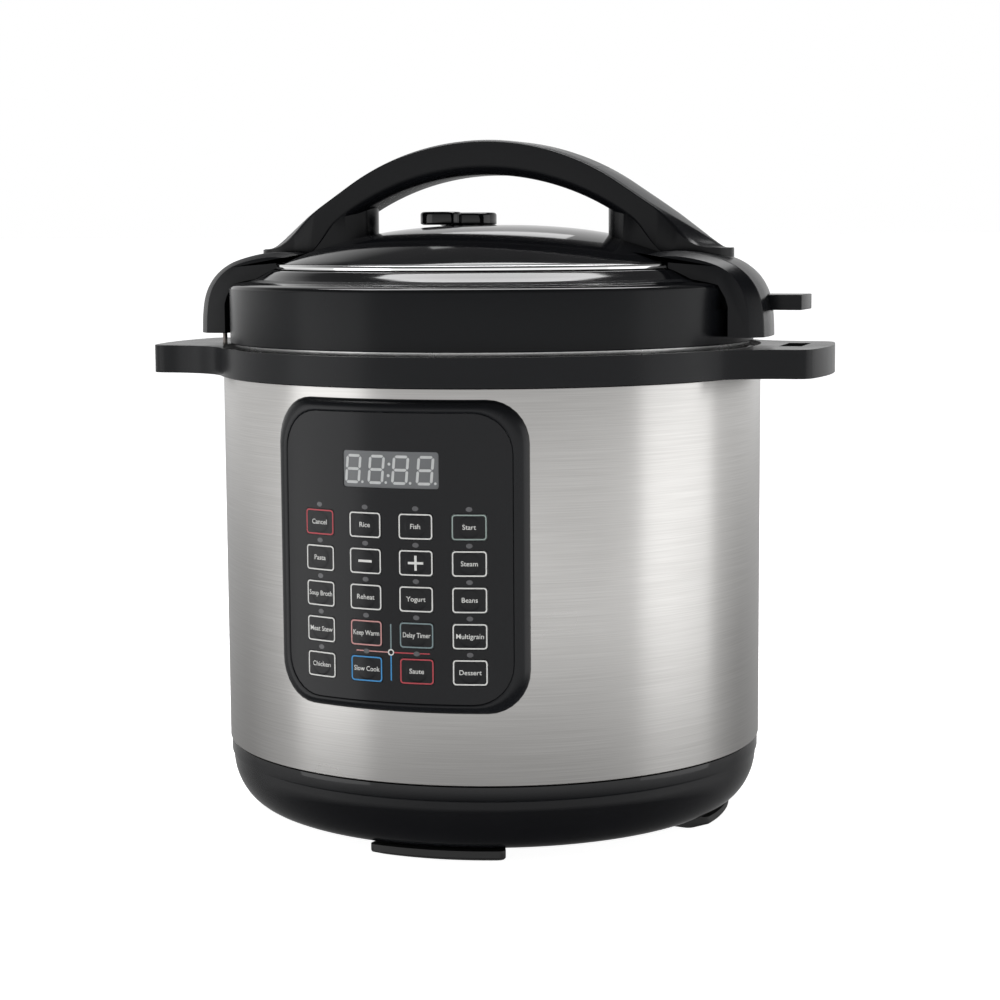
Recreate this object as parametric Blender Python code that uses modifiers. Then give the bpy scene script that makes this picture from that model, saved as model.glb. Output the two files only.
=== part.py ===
"""Electric pressure cooker: steel body on a black base, ring with two carrying handles, curved key
panel, twist-lock lid with an arched handle, steam valve, float valve and lifting inner pot.

Sizes are in millimetres in this file and turned into metres where a mesh is made.
The z axis is the axis of the pot, z = 0 is the worktop and the key panel faces -Y.
"""

import math

import bmesh
import bpy
from mathutils import Matrix

MM = 0.001
ROUND = 48

# Driving dimensions of the body.
BODY_R = 134.0
SHEET = 0.8
GAP = 0.3
RING_R = 136.0
LID_R = 130.5
BASE_TURN = 4.0
BASE_R = BODY_R - 0.6
BASE_WALL = 2.5
HANDLE_REACH = 170.6
HANDLE_HALF_WIDTH = 44.0
PARK_SLOT = ((146.3, -11.0), (157.3, 23.0))
CUP_LOW = 176.0
CUP_HIGH = 216.0

# The bowl of the base: the quarter ellipse that rounds it off.
BOWL_FLAT_R = 112.0
BOWL_WIDE = 20.6
BOWL_DEEP = 25.9

# The feet: sectors whose outer lower edge is cut back to the tread.
FOOT_TURN = 6.0
FOOT_HALF_ANGLE = 16.3
FOOT_INNER_R = 92.0
FOOT_OUTER_R = 119.5
TREAD_R = 111.5
TREAD_CUT = 3.0

# Heights, from the worktop up.
FOOT_TOP = 6.8
BASE_BOTTOM = 7.1
BASE_CREASE = 33.0
BASE_TOP = 40.4
SHELL_BOTTOM = 41.0
RING_BOTTOM = 222.3
SHELL_TOP = RING_BOTTOM - GAP
RING_TOP = 236.0
RING_FLOOR = 233.5
FLANGE_LOW = 238.0
FLANGE_TOP = 240.0
LID_BOTTOM = 237.8
LID_WALL_TOP = 266.0
DOME_TOP = 295.0
ARM_BOTTOM = 241.5
ARCH_TOP = 336.8

# The bayonet: lugs on the pot flange, and lugs of the inner lid that turn in under them.
LUGS = 6
LUG_HALF_ANGLE = 13.5

# The pot and what it stands on.
POT_R = 110.8
POT_WALL = 1.0
POT_FLOOR = 74.5
POT_RIM_TOP = 242.3
PLATE_TOP = POT_FLOOR - GAP
PLATE_LOW = 68.6
LINER_R = 114.0

# The key panel, as arc length round the body and height.
FILM_R = 138.0
FILM_HALF = 55.9
FILM_LOW = 79.9
FILM_HIGH = 210.9
BEZEL_HALF = 64.8
FACET = 14.2
BEZEL_LOW = 74.7
BEZEL_HIGH = 217.2
KEY_W = 16.4
KEY_H = 12.2
KEY_TOP_ROW = 160.3
KEY_ROW_STEP = 16.5
KEY_AZIMUTHS = (-15.3, -5.1, 5.1, 15.3)
KEY_NAMES = (
    ("cancel", "rice", "fish", "start"),
    ("pasta", "minus", "plus", "steam"),
    ("soup", "reheat", "yogurt", "beans"),
    ("stew", "keep_warm", "timer", "multigrain"),
    ("chicken", "slow_cook", "saute", "dessert"),
)
DISPLAY_W = 46.6
DISPLAY_H = 16.8
DISPLAY_Z = 185.6

# The lid.
DOME_RISE = 18.5
DOME_EDGE_R = 104.3
LID_PANEL_LOW = 252.3
LID_PANEL_HIGH = 253.5
ARCH_R = 129.0
ARCH_UNDER_R = 130.0
ARCH_UNDER_TOP = 319.5
ARCH_SLOPE = 33.4
HANDLE_HALF = 15.0
HANDLE_TIP = 124.0
HANDLE_FOOT_INNER = 61.4
VALVE_XY = (-23.0, 28.0)
FLOAT_XY = (24.0, 30.0)
ARM_HALF = 36.5
SENSE_PIN_XY = (-138.5, -20.0)

PARTS = None
CUTTERS = None


def clear_scene():
    for obj in list(bpy.data.objects):
        bpy.data.objects.remove(obj, do_unlink=True)


def make_collection(name):
    collection = bpy.data.collections.new(name)
    bpy.context.scene.collection.children.link(collection)
    return collection


def material(name, colour, roughness, metallic=0.0):
    made = bpy.data.materials.new(name)
    made.use_nodes = True
    shader = made.node_tree.nodes["Principled BSDF"]
    shader.inputs["Base Color"].default_value = (*colour, 1.0)
    shader.inputs["Roughness"].default_value = roughness
    shader.inputs["Metallic"].default_value = metallic
    return made


# Outlines and profiles.


def arc(centre, radius, start, end, steps):
    """Points of an arc about centre, from start to end in degrees."""
    points = []
    for step in range(steps + 1):
        angle = math.radians(start + (end - start) * step / steps)
        points.append((centre[0] + radius * math.cos(angle), centre[1] + radius * math.sin(angle)))
    return points


def rounded_rectangle(half_width, low, high, radius, steps=4):
    """A rectangle centred across, between two heights, with round corners."""
    right = half_width - radius
    points = arc((right, low + radius), radius, -90, 0, steps)
    points += arc((right, high - radius), radius, 0, 90, steps)
    points += arc((-right, high - radius), radius, 90, 180, steps)
    points += arc((-right, low + radius), radius, 180, 270, steps)
    return points


def lugged_circle(radius, lug_radius):
    """A circle whose radius changes to lug_radius over each bayonet lug."""
    points = []
    pitch = 360 / LUGS
    for lug in range(LUGS):
        middle = lug * pitch
        points += arc((0, 0), lug_radius, middle - LUG_HALF_ANGLE, middle + LUG_HALF_ANGLE, 4)
        points += arc((0, 0), radius, middle + LUG_HALF_ANGLE, middle + pitch - LUG_HALF_ANGLE, 4)
    return points


def sector(inner, outer, middle, half_angle, steps=8):
    """The outline of a piece of a ring, middle and half angle in degrees from +X."""
    points = arc((0, 0), outer, middle - half_angle, middle + half_angle, steps)
    return points + arc((0, 0), inner, middle + half_angle, middle - half_angle, steps)


def stadium(near, far, half_width, steps=10):
    """A bar along X between near and far whose ends are half circles."""
    points = arc((far - half_width, 0), half_width, -90, 90, steps)
    return points + arc((near + half_width, 0), half_width, 90, 270, steps)


def dome_height(radius, offset=0.0):
    """Height of the lid's dome at a radius, raised by offset: flat in the middle and steeper at its edge."""
    return DOME_TOP + offset - DOME_RISE * (radius / DOME_EDGE_R) ** 2.5


def dome_points(offset, outer, steps=8):
    """The dome's profile from its crown out to the radius outer."""
    return [(outer * step / steps, dome_height(outer * step / steps, offset)) for step in range(steps + 1)]


# Solids.


def add(name, mesh, finish=None, cutter=False):
    obj = bpy.data.objects.new(name, mesh)
    if cutter:
        CUTTERS.objects.link(obj)
        obj.hide_render = True
        obj.display_type = "WIRE"
    else:
        PARTS.objects.link(obj)
        if finish is not None and not mesh.materials:
            mesh.materials.append(finish)
    return obj


def turned(name, profile, finish=None, cutter=False, steps=ROUND):
    """A profile in (radius, height) turned about the z axis. It runs down its outer side."""
    mesh = bpy.data.meshes.new(name)
    count = len(profile)
    ends_on_axis = profile[0][0] == 0 and profile[-1][0] == 0
    edges = [(i, (i + 1) % count) for i in range(count - ends_on_axis)]
    mesh.from_pydata([(r * MM, 0, z * MM) for r, z in profile], edges, [])
    obj = add(name, mesh, finish, cutter)
    screw = obj.modifiers.new("turn", "SCREW")
    screw.steps = steps
    screw.render_steps = steps
    screw.use_merge_vertices = True
    screw.merge_threshold = 0.00001
    screw.use_smooth_shade = True
    return obj


def flat_mesh(name, outline, low, high, holes=()):
    """A closed mesh: an outline with holes in XY, between two heights, in millimetres."""
    curve = bpy.data.curves.new(name, "CURVE")
    curve.dimensions = "2D"
    curve.fill_mode = "BOTH"
    curve.extrude = (high - low) / 2
    for loop in (outline, *holes):
        spline = curve.splines.new("POLY")
        spline.points.add(len(loop) - 1)
        spline.use_cyclic_u = True
        for point, (a, b) in zip(spline.points, loop):
            point.co = (a, b, 0, 1)
    guide = bpy.data.objects.new(name + "_guide", curve)
    bpy.context.scene.collection.objects.link(guide)
    bpy.context.view_layer.update()
    graph = bpy.context.evaluated_depsgraph_get()
    mesh = bpy.data.meshes.new_from_object(guide.evaluated_get(graph))
    bpy.data.objects.remove(guide, do_unlink=True)
    mesh.name = name
    mesh.materials.clear()
    work = bmesh.new()
    work.from_mesh(mesh)
    bmesh.ops.remove_doubles(work, verts=work.verts, dist=0.0001)
    bmesh.ops.translate(work, verts=work.verts, vec=(0, 0, (low + high) / 2))
    bmesh.ops.recalc_face_normals(work, faces=work.faces)
    work.to_mesh(mesh)
    work.free()
    return mesh


def slab(name, outline, low, high, finish=None, cutter=False, holes=(), upright=False):
    """A flat piece: outline in XY between two heights, or upright in XZ between two depths."""
    mesh = flat_mesh(name, outline, low, high, holes)
    if upright:
        # (x, y, z) becomes (x, -z, y), so the depths are turned round first.
        mesh.transform(Matrix.Diagonal((1, 1, -1, 1)))
        mesh.flip_normals()
        mesh.transform(Matrix.Rotation(math.radians(90), 4, "X"))
    mesh.transform(Matrix.Scale(MM, 4))
    return add(name, mesh, finish, cutter)


def stacked_mesh(name, layers):
    """A closed mesh over level outlines with equal numbers of points, from the lowest up, in millimetres."""
    work = bmesh.new()
    rings = [[work.verts.new((x, y, z)) for x, y in outline] for z, outline in layers]
    count = len(rings[0])
    for lower, upper in zip(rings, rings[1:]):
        for index in range(count):
            after = (index + 1) % count
            work.faces.new((lower[index], lower[after], upper[after], upper[index]))
    work.faces.new(list(reversed(rings[0])))
    work.faces.new(rings[-1])
    bmesh.ops.recalc_face_normals(work, faces=work.faces)
    mesh = bpy.data.meshes.new(name)
    work.to_mesh(mesh)
    work.free()
    return mesh


def bent_mesh(name, outline, inner, outer, holes=(), facet=FACET):
    """A plate in (arc length, height) wrapped round the front of the body, between two radii."""
    mesh = flat_mesh(name, outline, inner, outer, holes)
    work = bmesh.new()
    work.from_mesh(mesh)
    cuts = int(max(u for u, _ in outline) / facet)
    for index in range(-cuts, cuts + 1):
        geometry = work.verts[:] + work.edges[:] + work.faces[:]
        where = (index * facet, 0, 0)
        bmesh.ops.bisect_plane(work, geom=geometry, dist=0.0001, plane_co=where, plane_no=(1, 0, 0))
    for vertex in work.verts:
        angle = vertex.co.x / FILM_R
        radius = vertex.co.z
        height = vertex.co.y
        vertex.co = (radius * math.sin(angle) * MM, -radius * math.cos(angle) * MM, height * MM)
    bmesh.ops.recalc_face_normals(work, faces=work.faces)
    work.to_mesh(mesh)
    work.free()
    return mesh


def box(name, low, high, finish=None, cutter=False):
    mesh = bpy.data.meshes.new(name)
    work = bmesh.new()
    bmesh.ops.create_cube(work, size=1.0)
    size = [(b - a) * MM for a, b in zip(low, high)]
    middle = [(a + b) * MM / 2 for a, b in zip(low, high)]
    bmesh.ops.scale(work, verts=work.verts, vec=size)
    bmesh.ops.translate(work, verts=work.verts, vec=middle)
    work.to_mesh(mesh)
    work.free()
    return add(name, mesh, finish, cutter)


def post(name, xy, radius, low, high, finish=None, cutter=False, sides=20):
    """An upright cylinder whose object stands at its own axis."""
    mesh = bpy.data.meshes.new(name)
    work = bmesh.new()
    bmesh.ops.create_cone(
        work,
        cap_ends=True,
        segments=sides,
        radius1=radius * MM,
        radius2=radius * MM,
        depth=(high - low) * MM,
    )
    work.to_mesh(mesh)
    work.free()
    obj = add(name, mesh, finish, cutter)
    obj.location = (xy[0] * MM, xy[1] * MM, (low + high) * MM / 2)
    return obj


def boolean(obj, other, operation):
    modifier = obj.modifiers.new(other.name, "BOOLEAN")
    modifier.operation = operation
    modifier.object = other
    modifier.solver = "EXACT"


def cut(obj, *cutters):
    for cutter in cutters:
        boolean(obj, cutter, "DIFFERENCE")


def join(obj, *others):
    for other in others:
        boolean(obj, other, "UNION")


# The base: everything that stands on the worktop and doesn't move.


def make_shell(steel):
    shell = turned(
        "outer_shell",
        [
            (BODY_R, SHELL_TOP),
            (BODY_R, SHELL_BOTTOM),
            (BODY_R - SHEET, SHELL_BOTTOM),
            (BODY_R - SHEET, SHELL_TOP),
        ],
        steel,
    )
    window = box("panel_window_cutter", (-40, -150, 90), (40, -110, 200), cutter=True)
    cut(shell, window)


def bowl_profile(offset, steps):
    """The base's round side, from its crease in to its flat bottom, moved inwards by offset."""
    points = []
    for step in range(steps + 1):
        angle = math.radians(80 * step / steps)
        radius = BOWL_FLAT_R + (BOWL_WIDE - offset) * math.cos(angle)
        points.append((radius, BASE_CREASE - (BOWL_DEEP - offset) * math.sin(angle)))
    return points


def make_housing(black):
    floor_top = BASE_BOTTOM + BASE_WALL
    profile = [(BASE_R, BASE_TOP), (BASE_R, BASE_CREASE + 0.8)]
    profile += bowl_profile(0, 5)
    profile += [(BOWL_FLAT_R, BASE_BOTTOM), (0, BASE_BOTTOM), (0, floor_top), (BOWL_FLAT_R - 1, floor_top)]
    profile += list(reversed(bowl_profile(BASE_WALL, 3)))
    profile += [(BASE_R - BASE_WALL, BASE_TOP)]
    # The profile touches the axis only along its floor, so it starts and ends there.
    floor = profile.index((0, floor_top))
    profile = profile[floor:] + profile[:floor]
    housing = turned("base_housing", profile, black)
    vents = bmesh.new()
    for index in range(10):
        made = bmesh.ops.create_cube(vents, size=1.0)["verts"]
        bmesh.ops.scale(vents, verts=made, vec=(26 * MM, 4 * MM, 8 * MM))
        bmesh.ops.translate(vents, verts=made, vec=(62 * MM, 0, (BASE_BOTTOM + 1) * MM))
        turn = Matrix.Rotation(math.radians(36 * index), 3, "Z")
        bmesh.ops.rotate(vents, verts=made, cent=(0, 0, 0), matrix=turn)
    mesh = bpy.data.meshes.new("vent_cutter")
    vents.to_mesh(mesh)
    vents.free()
    inlet_hole = box("inlet_hole_cutter", (-15.3, 100, 12.7), (15.3, 150, 37.3), cutter=True)
    cut(housing, add("vent_cutter", mesh, cutter=True), inlet_hole)


def make_feet(rubber):
    tread = sector(FOOT_INNER_R, TREAD_R, 0, FOOT_HALF_ANGLE)
    block = sector(FOOT_INNER_R, FOOT_OUTER_R, 0, FOOT_HALF_ANGLE)
    mesh = stacked_mesh("foot", [(0, tread), (TREAD_CUT, block), (FOOT_TOP, block)])
    mesh.transform(Matrix.Scale(MM, 4))
    for name, azimuth in (("front", -90), ("right", 0), ("rear", 90), ("left", 180)):
        foot = add("foot_" + name, mesh, rubber)
        foot.rotation_euler.z = math.radians(azimuth + FOOT_TURN)


def make_top_ring(black):
    """The ring: an outer skirt and rim, a web under its floor and an inner lip round the liner."""
    skirt_inner = BODY_R - 0.4
    rim_inner = BODY_R + GAP
    web_low = RING_FLOOR - 2.5
    lip_low = RING_FLOOR - 7.5
    lip_outer = 118.0
    lip_inner = 116.0
    ring = turned(
        "top_ring",
        [
            (RING_R, RING_TOP),
            (RING_R, RING_BOTTOM),
            (skirt_inner, RING_BOTTOM),
            (skirt_inner, web_low),
            (lip_outer, web_low),
            (lip_outer, lip_low),
            (lip_inner, lip_low),
            (lip_inner, RING_FLOOR),
            (rim_inner, RING_FLOOR),
            (rim_inner, RING_TOP),
        ],
        black,
    )
    # Each handle flares out of the ring to straight sides and ends in an arc about the pot's axis.
    corner = 8.0
    fillet = 40.0
    fillet_y = HANDLE_HALF_WIDTH + fillet
    fillet_x = math.sqrt((RING_R + fillet) ** 2 - fillet_y**2)
    touch = math.degrees(math.atan2(fillet_y, fillet_x))
    corner_y = HANDLE_HALF_WIDTH - corner
    corner_x = math.sqrt((HANDLE_REACH - corner) ** 2 - corner_y**2)
    end = math.degrees(math.atan2(corner_y, corner_x))
    side = arc((fillet_x, -fillet_y), fillet, 180 - touch, 90, 6)
    side += arc((corner_x, -corner_y), corner, -90, -end, 4)
    outline = side + arc((0, 0), HANDLE_REACH, -end, end, 6)[1:-1]
    outline += [(x, -y) for x, y in reversed(side)]
    outline += arc((0, 0), 135.0, touch, -touch, 10)
    for name, turn in (("right", 0), ("left", 180)):
        handle = slab(name + "_handle_join", outline, RING_BOTTOM, RING_TOP, cutter=True)
        handle.rotation_euler.z = math.radians(turn + BASE_TURN)
        join(ring, handle)
    near, far = PARK_SLOT
    slot = box("park_slot_cutter", (*near, RING_BOTTOM - 7), (*far, RING_TOP + 9), cutter=True)
    slot.rotation_euler.z = math.radians(BASE_TURN)
    pin_hole = post("sense_pin_hole_cutter", SENSE_PIN_XY, 1.6, 225.5, 240, cutter=True, sides=12)
    cut(ring, slot, pin_hole)


def make_liner(aluminium):
    """The outer pot that the inner pot hangs in, with the bayonet flange round its mouth."""
    inner = LINER_R - 1.5
    liner = turned(
        "outer_pot",
        [
            (LINER_R, FLANGE_TOP - 0.5),
            (LINER_R, 60.0),
            (40.0, 60.0),
            (40.0, 61.5),
            (inner, 61.5),
            (inner, FLANGE_TOP - 0.5),
        ],
        aluminium,
    )
    flange = slab(
        "flange_join",
        lugged_circle(121.0, 125.5),
        FLANGE_LOW,
        FLANGE_TOP,
        cutter=True,
        holes=[arc((0, 0), inner, 0, 350, 35)],
    )
    join(liner, flange)


def make_heater(aluminium, steel, black):
    turned(
        "heating_plate",
        [(88.0, PLATE_TOP), (90.0, PLATE_TOP - 2), (90.0, PLATE_LOW), (17.0, PLATE_LOW), (17.0, PLATE_TOP)],
        aluminium,
        steps=32,
    )
    element = bpy.data.curves.new("heating_element", "CURVE")
    element.dimensions = "3D"
    element.bevel_depth = 3.0 * MM
    element.bevel_resolution = 2
    element.use_fill_caps = True
    loop = arc((0, 0), 68.0, 20, 340, 24)
    spline = element.splines.new("POLY")
    spline.points.add(len(loop) - 1)
    for point, (x, y) in zip(spline.points, loop):
        point.co = (x * MM, y * MM, 0, 1)
    tube = add("heating_element", element)
    element.materials.append(steel)
    tube.location.z = (PLATE_LOW - 3.6) * MM
    turned(
        "heat_shield",
        [(124.6, 218.0), (124.6, 44.0), (124.0, 44.0), (124.0, 218.0)],
        steel,
    )
    switch = box("pressure_switch", (-72, -14, 38.0), (-46, 14, 52.0), black)
    plunger = post("switch_plunger_join", (-59, 0), 4.0, 51.0, 59.4, cutter=True, sides=12)
    join(switch, plunger)
    post("thermal_fuse", (52.0, 30.0), 5.0, 48.0, 59.6, black, sides=16)


def make_sensor(steel):
    turned(
        "sensor_cap",
        [
            (0, PLATE_TOP - 0.1),
            (14.5, PLATE_TOP - 0.1),
            (16.0, PLATE_TOP - 1.5),
            (16.0, 62.5),
            (14.8, 62.5),
            (14.8, PLATE_TOP - 2.6),
            (0, PLATE_TOP - 2.6),
        ],
        steel,
        steps=24,
    )
    bracket = box("sensor_bracket", (-9, -50, 53.4), (9, 50, 54.8), steel)
    for index, side in enumerate((-1, 1)):
        near, far = sorted((side * 44, side * 50))
        join(bracket, box(f"bracket_end_join_{index}", (-9, near, 54), (9, far, 59.6), cutter=True))
    coil = bpy.data.curves.new("sensor_spring", "CURVE")
    coil.dimensions = "3D"
    coil.bevel_depth = 0.6 * MM
    coil.bevel_resolution = 2
    coil.use_fill_caps = True
    turns = 3
    per_turn = 10
    low = 56.0
    high = PLATE_TOP - 3.8
    spline = coil.splines.new("POLY")
    spline.points.add(turns * per_turn)
    for index, point in enumerate(spline.points):
        angle = 2 * math.pi * index / per_turn
        height = low + (high - low) * index / (turns * per_turn)
        point.co = (9 * MM * math.cos(angle), 9 * MM * math.sin(angle), height * MM, 1)
    add("sensor_spring", coil)
    coil.materials.append(steel)


def make_boards(green):
    power_board = box("power_board", (-45, 40, 20), (45, 96, 21.6), green)
    box("control_board", (-33, -127.4, 96), (33, -126.0, 196), green)
    relay = box("relay_join", (-20, 50, 21), (0, 70, 36), cutter=True)
    join(power_board, relay)


def make_inlet(black):
    """A three-pin appliance socket in the rear of the base."""
    inlet = box("power_inlet", (-15.0, 106, 13.0), (15.0, 132.6, 37.0), black)
    cavity = slab(
        "socket_cutter",
        [(-12, -7.5), (12, -7.5), (12, 3.5), (7.5, 8.0), (-7.5, 8.0), (-12, 3.5)],
        114,
        140,
        cutter=True,
        upright=True,
    )
    cavity.location.z = 25 * MM
    cut(inlet, cavity)
    for index, (x, z) in enumerate(((-7, 23), (0, 27), (7, 23))):
        join(
            inlet,
            box(f"pin_join_{index}", (x - 1, 112, z - 2), (x + 1, 129, z + 2), cutter=True),
        )


def make_panel(black, film_black, grey):
    backing = bent_mesh(
        "panel_bezel",
        rounded_rectangle(BEZEL_HALF, BEZEL_LOW, BEZEL_HIGH, 20, 5),
        BODY_R + 0.4,
        136.2,
    )
    bezel = add("panel_bezel", backing, black)
    film_outline = rounded_rectangle(FILM_HALF, FILM_LOW, FILM_HIGH, 18, 5)
    rim = bent_mesh(
        "bezel_rim_join",
        rounded_rectangle(BEZEL_HALF - 3.2, BEZEL_LOW + 2.0, BEZEL_HIGH - 2.4, 19, 5),
        135.4,
        138.7,
        holes=[rounded_rectangle(FILM_HALF + 0.5, FILM_LOW - 0.5, FILM_HIGH + 0.5, 18.5, 5)],
    )
    join(bezel, add("bezel_rim_join", rim, cutter=True))
    display_low = DISPLAY_Z - DISPLAY_H / 2
    display_high = DISPLAY_Z + DISPLAY_H / 2
    holes = [rounded_rectangle(DISPLAY_W / 2 + 0.4, display_low - 0.5, display_high + 0.5, 1.2, 1)]
    for row in range(len(KEY_NAMES)):
        z = KEY_TOP_ROW - row * KEY_ROW_STEP
        for azimuth in KEY_AZIMUTHS:
            middle = math.radians(azimuth) * FILM_R
            loop = rounded_rectangle(KEY_W / 2 + GAP, z - KEY_H / 2 - GAP, z + KEY_H / 2 + GAP, 1.8, 1)
            holes.append([(u + middle, v) for u, v in loop])
    add("panel_film", bent_mesh("panel_film", film_outline, 136.5, FILM_R, holes), film_black)
    display = rounded_rectangle(DISPLAY_W / 2, display_low, display_high, 1, 1)
    add("display_module", bent_mesh("display_module", display, 136.5, 137.6), grey)


def make_keys(film_black):
    mesh = bent_mesh(
        "key", rounded_rectangle(KEY_W / 2, -KEY_H / 2, KEY_H / 2, 1.6, 1), 136.8, 138.15
    )
    for row, names in enumerate(KEY_NAMES):
        for azimuth, name in zip(KEY_AZIMUTHS, names):
            key = add("key_" + name, mesh, film_black)
            key.location.z = (KEY_TOP_ROW - row * KEY_ROW_STEP) * MM
            key.rotation_euler.z = math.radians(azimuth)


def make_cup(clear_grey):
    """The cup that catches drips from the ring, hung on the back of the body."""
    cup = slab("condensation_cup", sector(134.8, 142.6, 90, 12.5), CUP_LOW, CUP_HIGH, clear_grey)
    hollow = slab("cup_cutter", sector(136.1, 141.3, 90, 11.8), CUP_LOW + 1.5, CUP_HIGH + 5, cutter=True)
    cut(cup, hollow)


# The inner pot and the lid.


def make_pot(steel):
    inner = POT_R - POT_WALL
    turned(
        "inner_pot",
        [
            (0, POT_FLOOR + POT_WALL),
            (inner - 9, POT_FLOOR + POT_WALL),
            (inner - 2, POT_FLOOR + 5.0),
            (inner, POT_FLOOR + 12.0),
            (inner, POT_RIM_TOP),
            (117.0, POT_RIM_TOP),
            (118.0, POT_RIM_TOP - 1.0),
            (118.0, FLANGE_TOP + GAP),
            (POT_R, FLANGE_TOP + GAP),
            (POT_R, POT_FLOOR + 12.0),
            (POT_R - 2, POT_FLOOR + 4.2),
            (POT_R - 9, POT_FLOOR),
            (0, POT_FLOOR),
        ],
        steel,
    )


def make_seal(silicone, steel):
    turned(
        "sealing_ring",
        [
            (118.2, 251.9),
            (118.2, POT_RIM_TOP + GAP),
            (111.0, POT_RIM_TOP + GAP),
            (109.4, 244.2),
            (116.0, 246.0),
            (116.0, 249.0),
            (109.4, 250.2),
            (109.4, 251.9),
        ],
        silicone,
        steps=40,
    )
    turned(
        "sealing_ring_rack",
        [(107.9, 252.0), (107.9, 243.4), (106.9, 243.4), (106.9, 252.0)],
        steel,
        steps=40,
    )


def make_inner_lid(steel):
    lid = turned(
        "inner_lid",
        [
            (0, LID_PANEL_HIGH),
            (127.5, LID_PANEL_HIGH),
            (128.5, LID_PANEL_HIGH - 1.0),
            (128.5, 234.8),
            (127.3, 234.8),
            (127.3, LID_PANEL_LOW),
            (0, LID_PANEL_LOW),
        ],
        steel,
    )
    lugs = slab(
        "lid_lugs_join",
        arc((0, 0), 128.3, 0, 352.5, 47),
        234.8,
        237.3,
        cutter=True,
        holes=[lugged_circle(127.0, 122.5)],
    )
    join(lid, lugs)
    cut(
        lid,
        post("steam_hole_cutter", VALVE_XY, 5.4, 245, 260, cutter=True, sides=16),
        post("float_hole_cutter", FLOAT_XY, 3.2, 245, 260, cutter=True, sides=16),
    )


def shoulder(offset=0.0):
    """The wall and shoulder of the lid's plastic ring, from its inner edge out and down."""
    points = [(107.0, 273.6), (112.0, 272.9), (118.0, 271.6), (124.6, 269.4), (LID_R, LID_WALL_TOP)]
    moved = [(r + 0.35 * offset, z + 0.95 * offset) for r, z in points[:-1]]
    return moved + [(LID_R + offset, LID_WALL_TOP + 0.4 * offset), (LID_R + offset, LID_BOTTOM)]


def make_lid_ring(black):
    profile = shoulder()
    profile += [(128.8, LID_BOTTOM), (128.8, 264.2), (123.6, 266.8), (117.2, 269.0), (107.0, 270.8)]
    turned("lid_ring", profile, black)


def make_trim(chrome):
    turned(
        "lid_trim",
        [(105.6, 276.6), (107.2, 275.6), (107.2, 274.3), (104.8, 274.3), (104.8, 276.6)],
        chrome,
    )


def arm_outline():
    """Side view of one lid arm: over the shoulder and down outside the wall."""
    return [
        (88.0, 276.0),
        (88.0, 280.2),
        (99.0, 282.0),
        (110.0, 281.6),
        (121.0, 279.4),
        (130.0, 276.2),
        (137.0, 271.3),
        (141.7, 265.3),
        (144.3, 258.8),
        (145.5, 251.0),
        (145.9, ARM_BOTTOM),
        (125.0, ARM_BOTTOM),
        (125.0, 262.0),
        (104.0, 268.0),
    ]


def arm_plan():
    """Plan of one lid arm: square in front, drawn in towards the back."""
    return [
        (80, -ARM_HALF),
        (141.2, -ARM_HALF),
        (146.2, -33.0),
        (146.4, -18.0),
        (145.2, -4.0),
        (142.6, 8.0),
        (138.6, 20.0),
        (133.0, 30.0),
        (124.0, ARM_HALF),
        (80, ARM_HALF),
    ]


def mirrored(points):
    return [(-x, y) for x, y in reversed(points)]


def make_cover(gloss):
    """The lid's dome and, in one moulding with it, the two arms over its shoulder."""
    outer = dome_points(0, DOME_EDGE_R, 6)
    inner = dome_points(-2.8, DOME_EDGE_R - 2.6, 3)
    profile = outer + [(DOME_EDGE_R, 272.8), (DOME_EDGE_R - 2.6, 272.8)] + list(reversed(inner))
    cover = turned("lid_cover", profile, gloss)
    # Nothing of an arm comes nearer to the lid ring and its trim than this.
    keep_out = [(0, 276.9), (107.7, 276.9), (107.7, 274.3)] + shoulder(GAP)[1:-1]
    keep_out += [(LID_R + GAP, 230.0), (0, 230.0)]
    inside = turned("shoulder_cutter", keep_out, cutter=True)
    sides = {"right": lambda points: points, "left": mirrored}
    for name, side in sides.items():
        arm = slab(name + "_arm_join", side(arm_outline()), -ARM_HALF, ARM_HALF, cutter=True, upright=True)
        plan = slab(name + "_arm_plan_cutter", side(arm_plan()), 235, 290, cutter=True)
        boolean(arm, plan, "INTERSECT")
        cut(arm, inside)
        join(cover, arm)
    cut(
        cover,
        box("fin_pocket_cutter", (136, -11.9, 253.4), (150, 11.9, 261.3), cutter=True),
        post("valve_hole_cutter", VALVE_XY, 9.0, 280, 300, cutter=True),
        post("float_window_cutter", FLOAT_XY, 4.5, 280, 300, cutter=True),
    )


def arch_height(x):
    """Height of the arch's top line: a round crown that runs out into straight sides."""
    bend = math.radians(ARCH_SLOPE)
    if abs(x) < ARCH_R * math.sin(bend):
        return ARCH_TOP - ARCH_R + math.sqrt(ARCH_R**2 - x**2)
    crown = ARCH_TOP - ARCH_R * (1 - math.cos(bend))
    return crown - (abs(x) - ARCH_R * math.sin(bend)) * math.tan(bend)


def arch_side():
    """Side view of the arch handle's top line, from its left toe to its right toe."""
    bend = 90 - ARCH_SLOPE
    centre_z = ARCH_TOP - ARCH_R
    top = arc((0, centre_z), ARCH_R, 180 - bend, bend, 16)
    run = HANDLE_TIP - top[-1][0]
    toe = top[-1][1] - run * math.tan(math.radians(ARCH_SLOPE))
    return [(-HANDLE_TIP, toe + 1.6), (-118, toe + 4)] + top + [(118, toe + 4), (HANDLE_TIP, toe + 1.6)]


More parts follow.
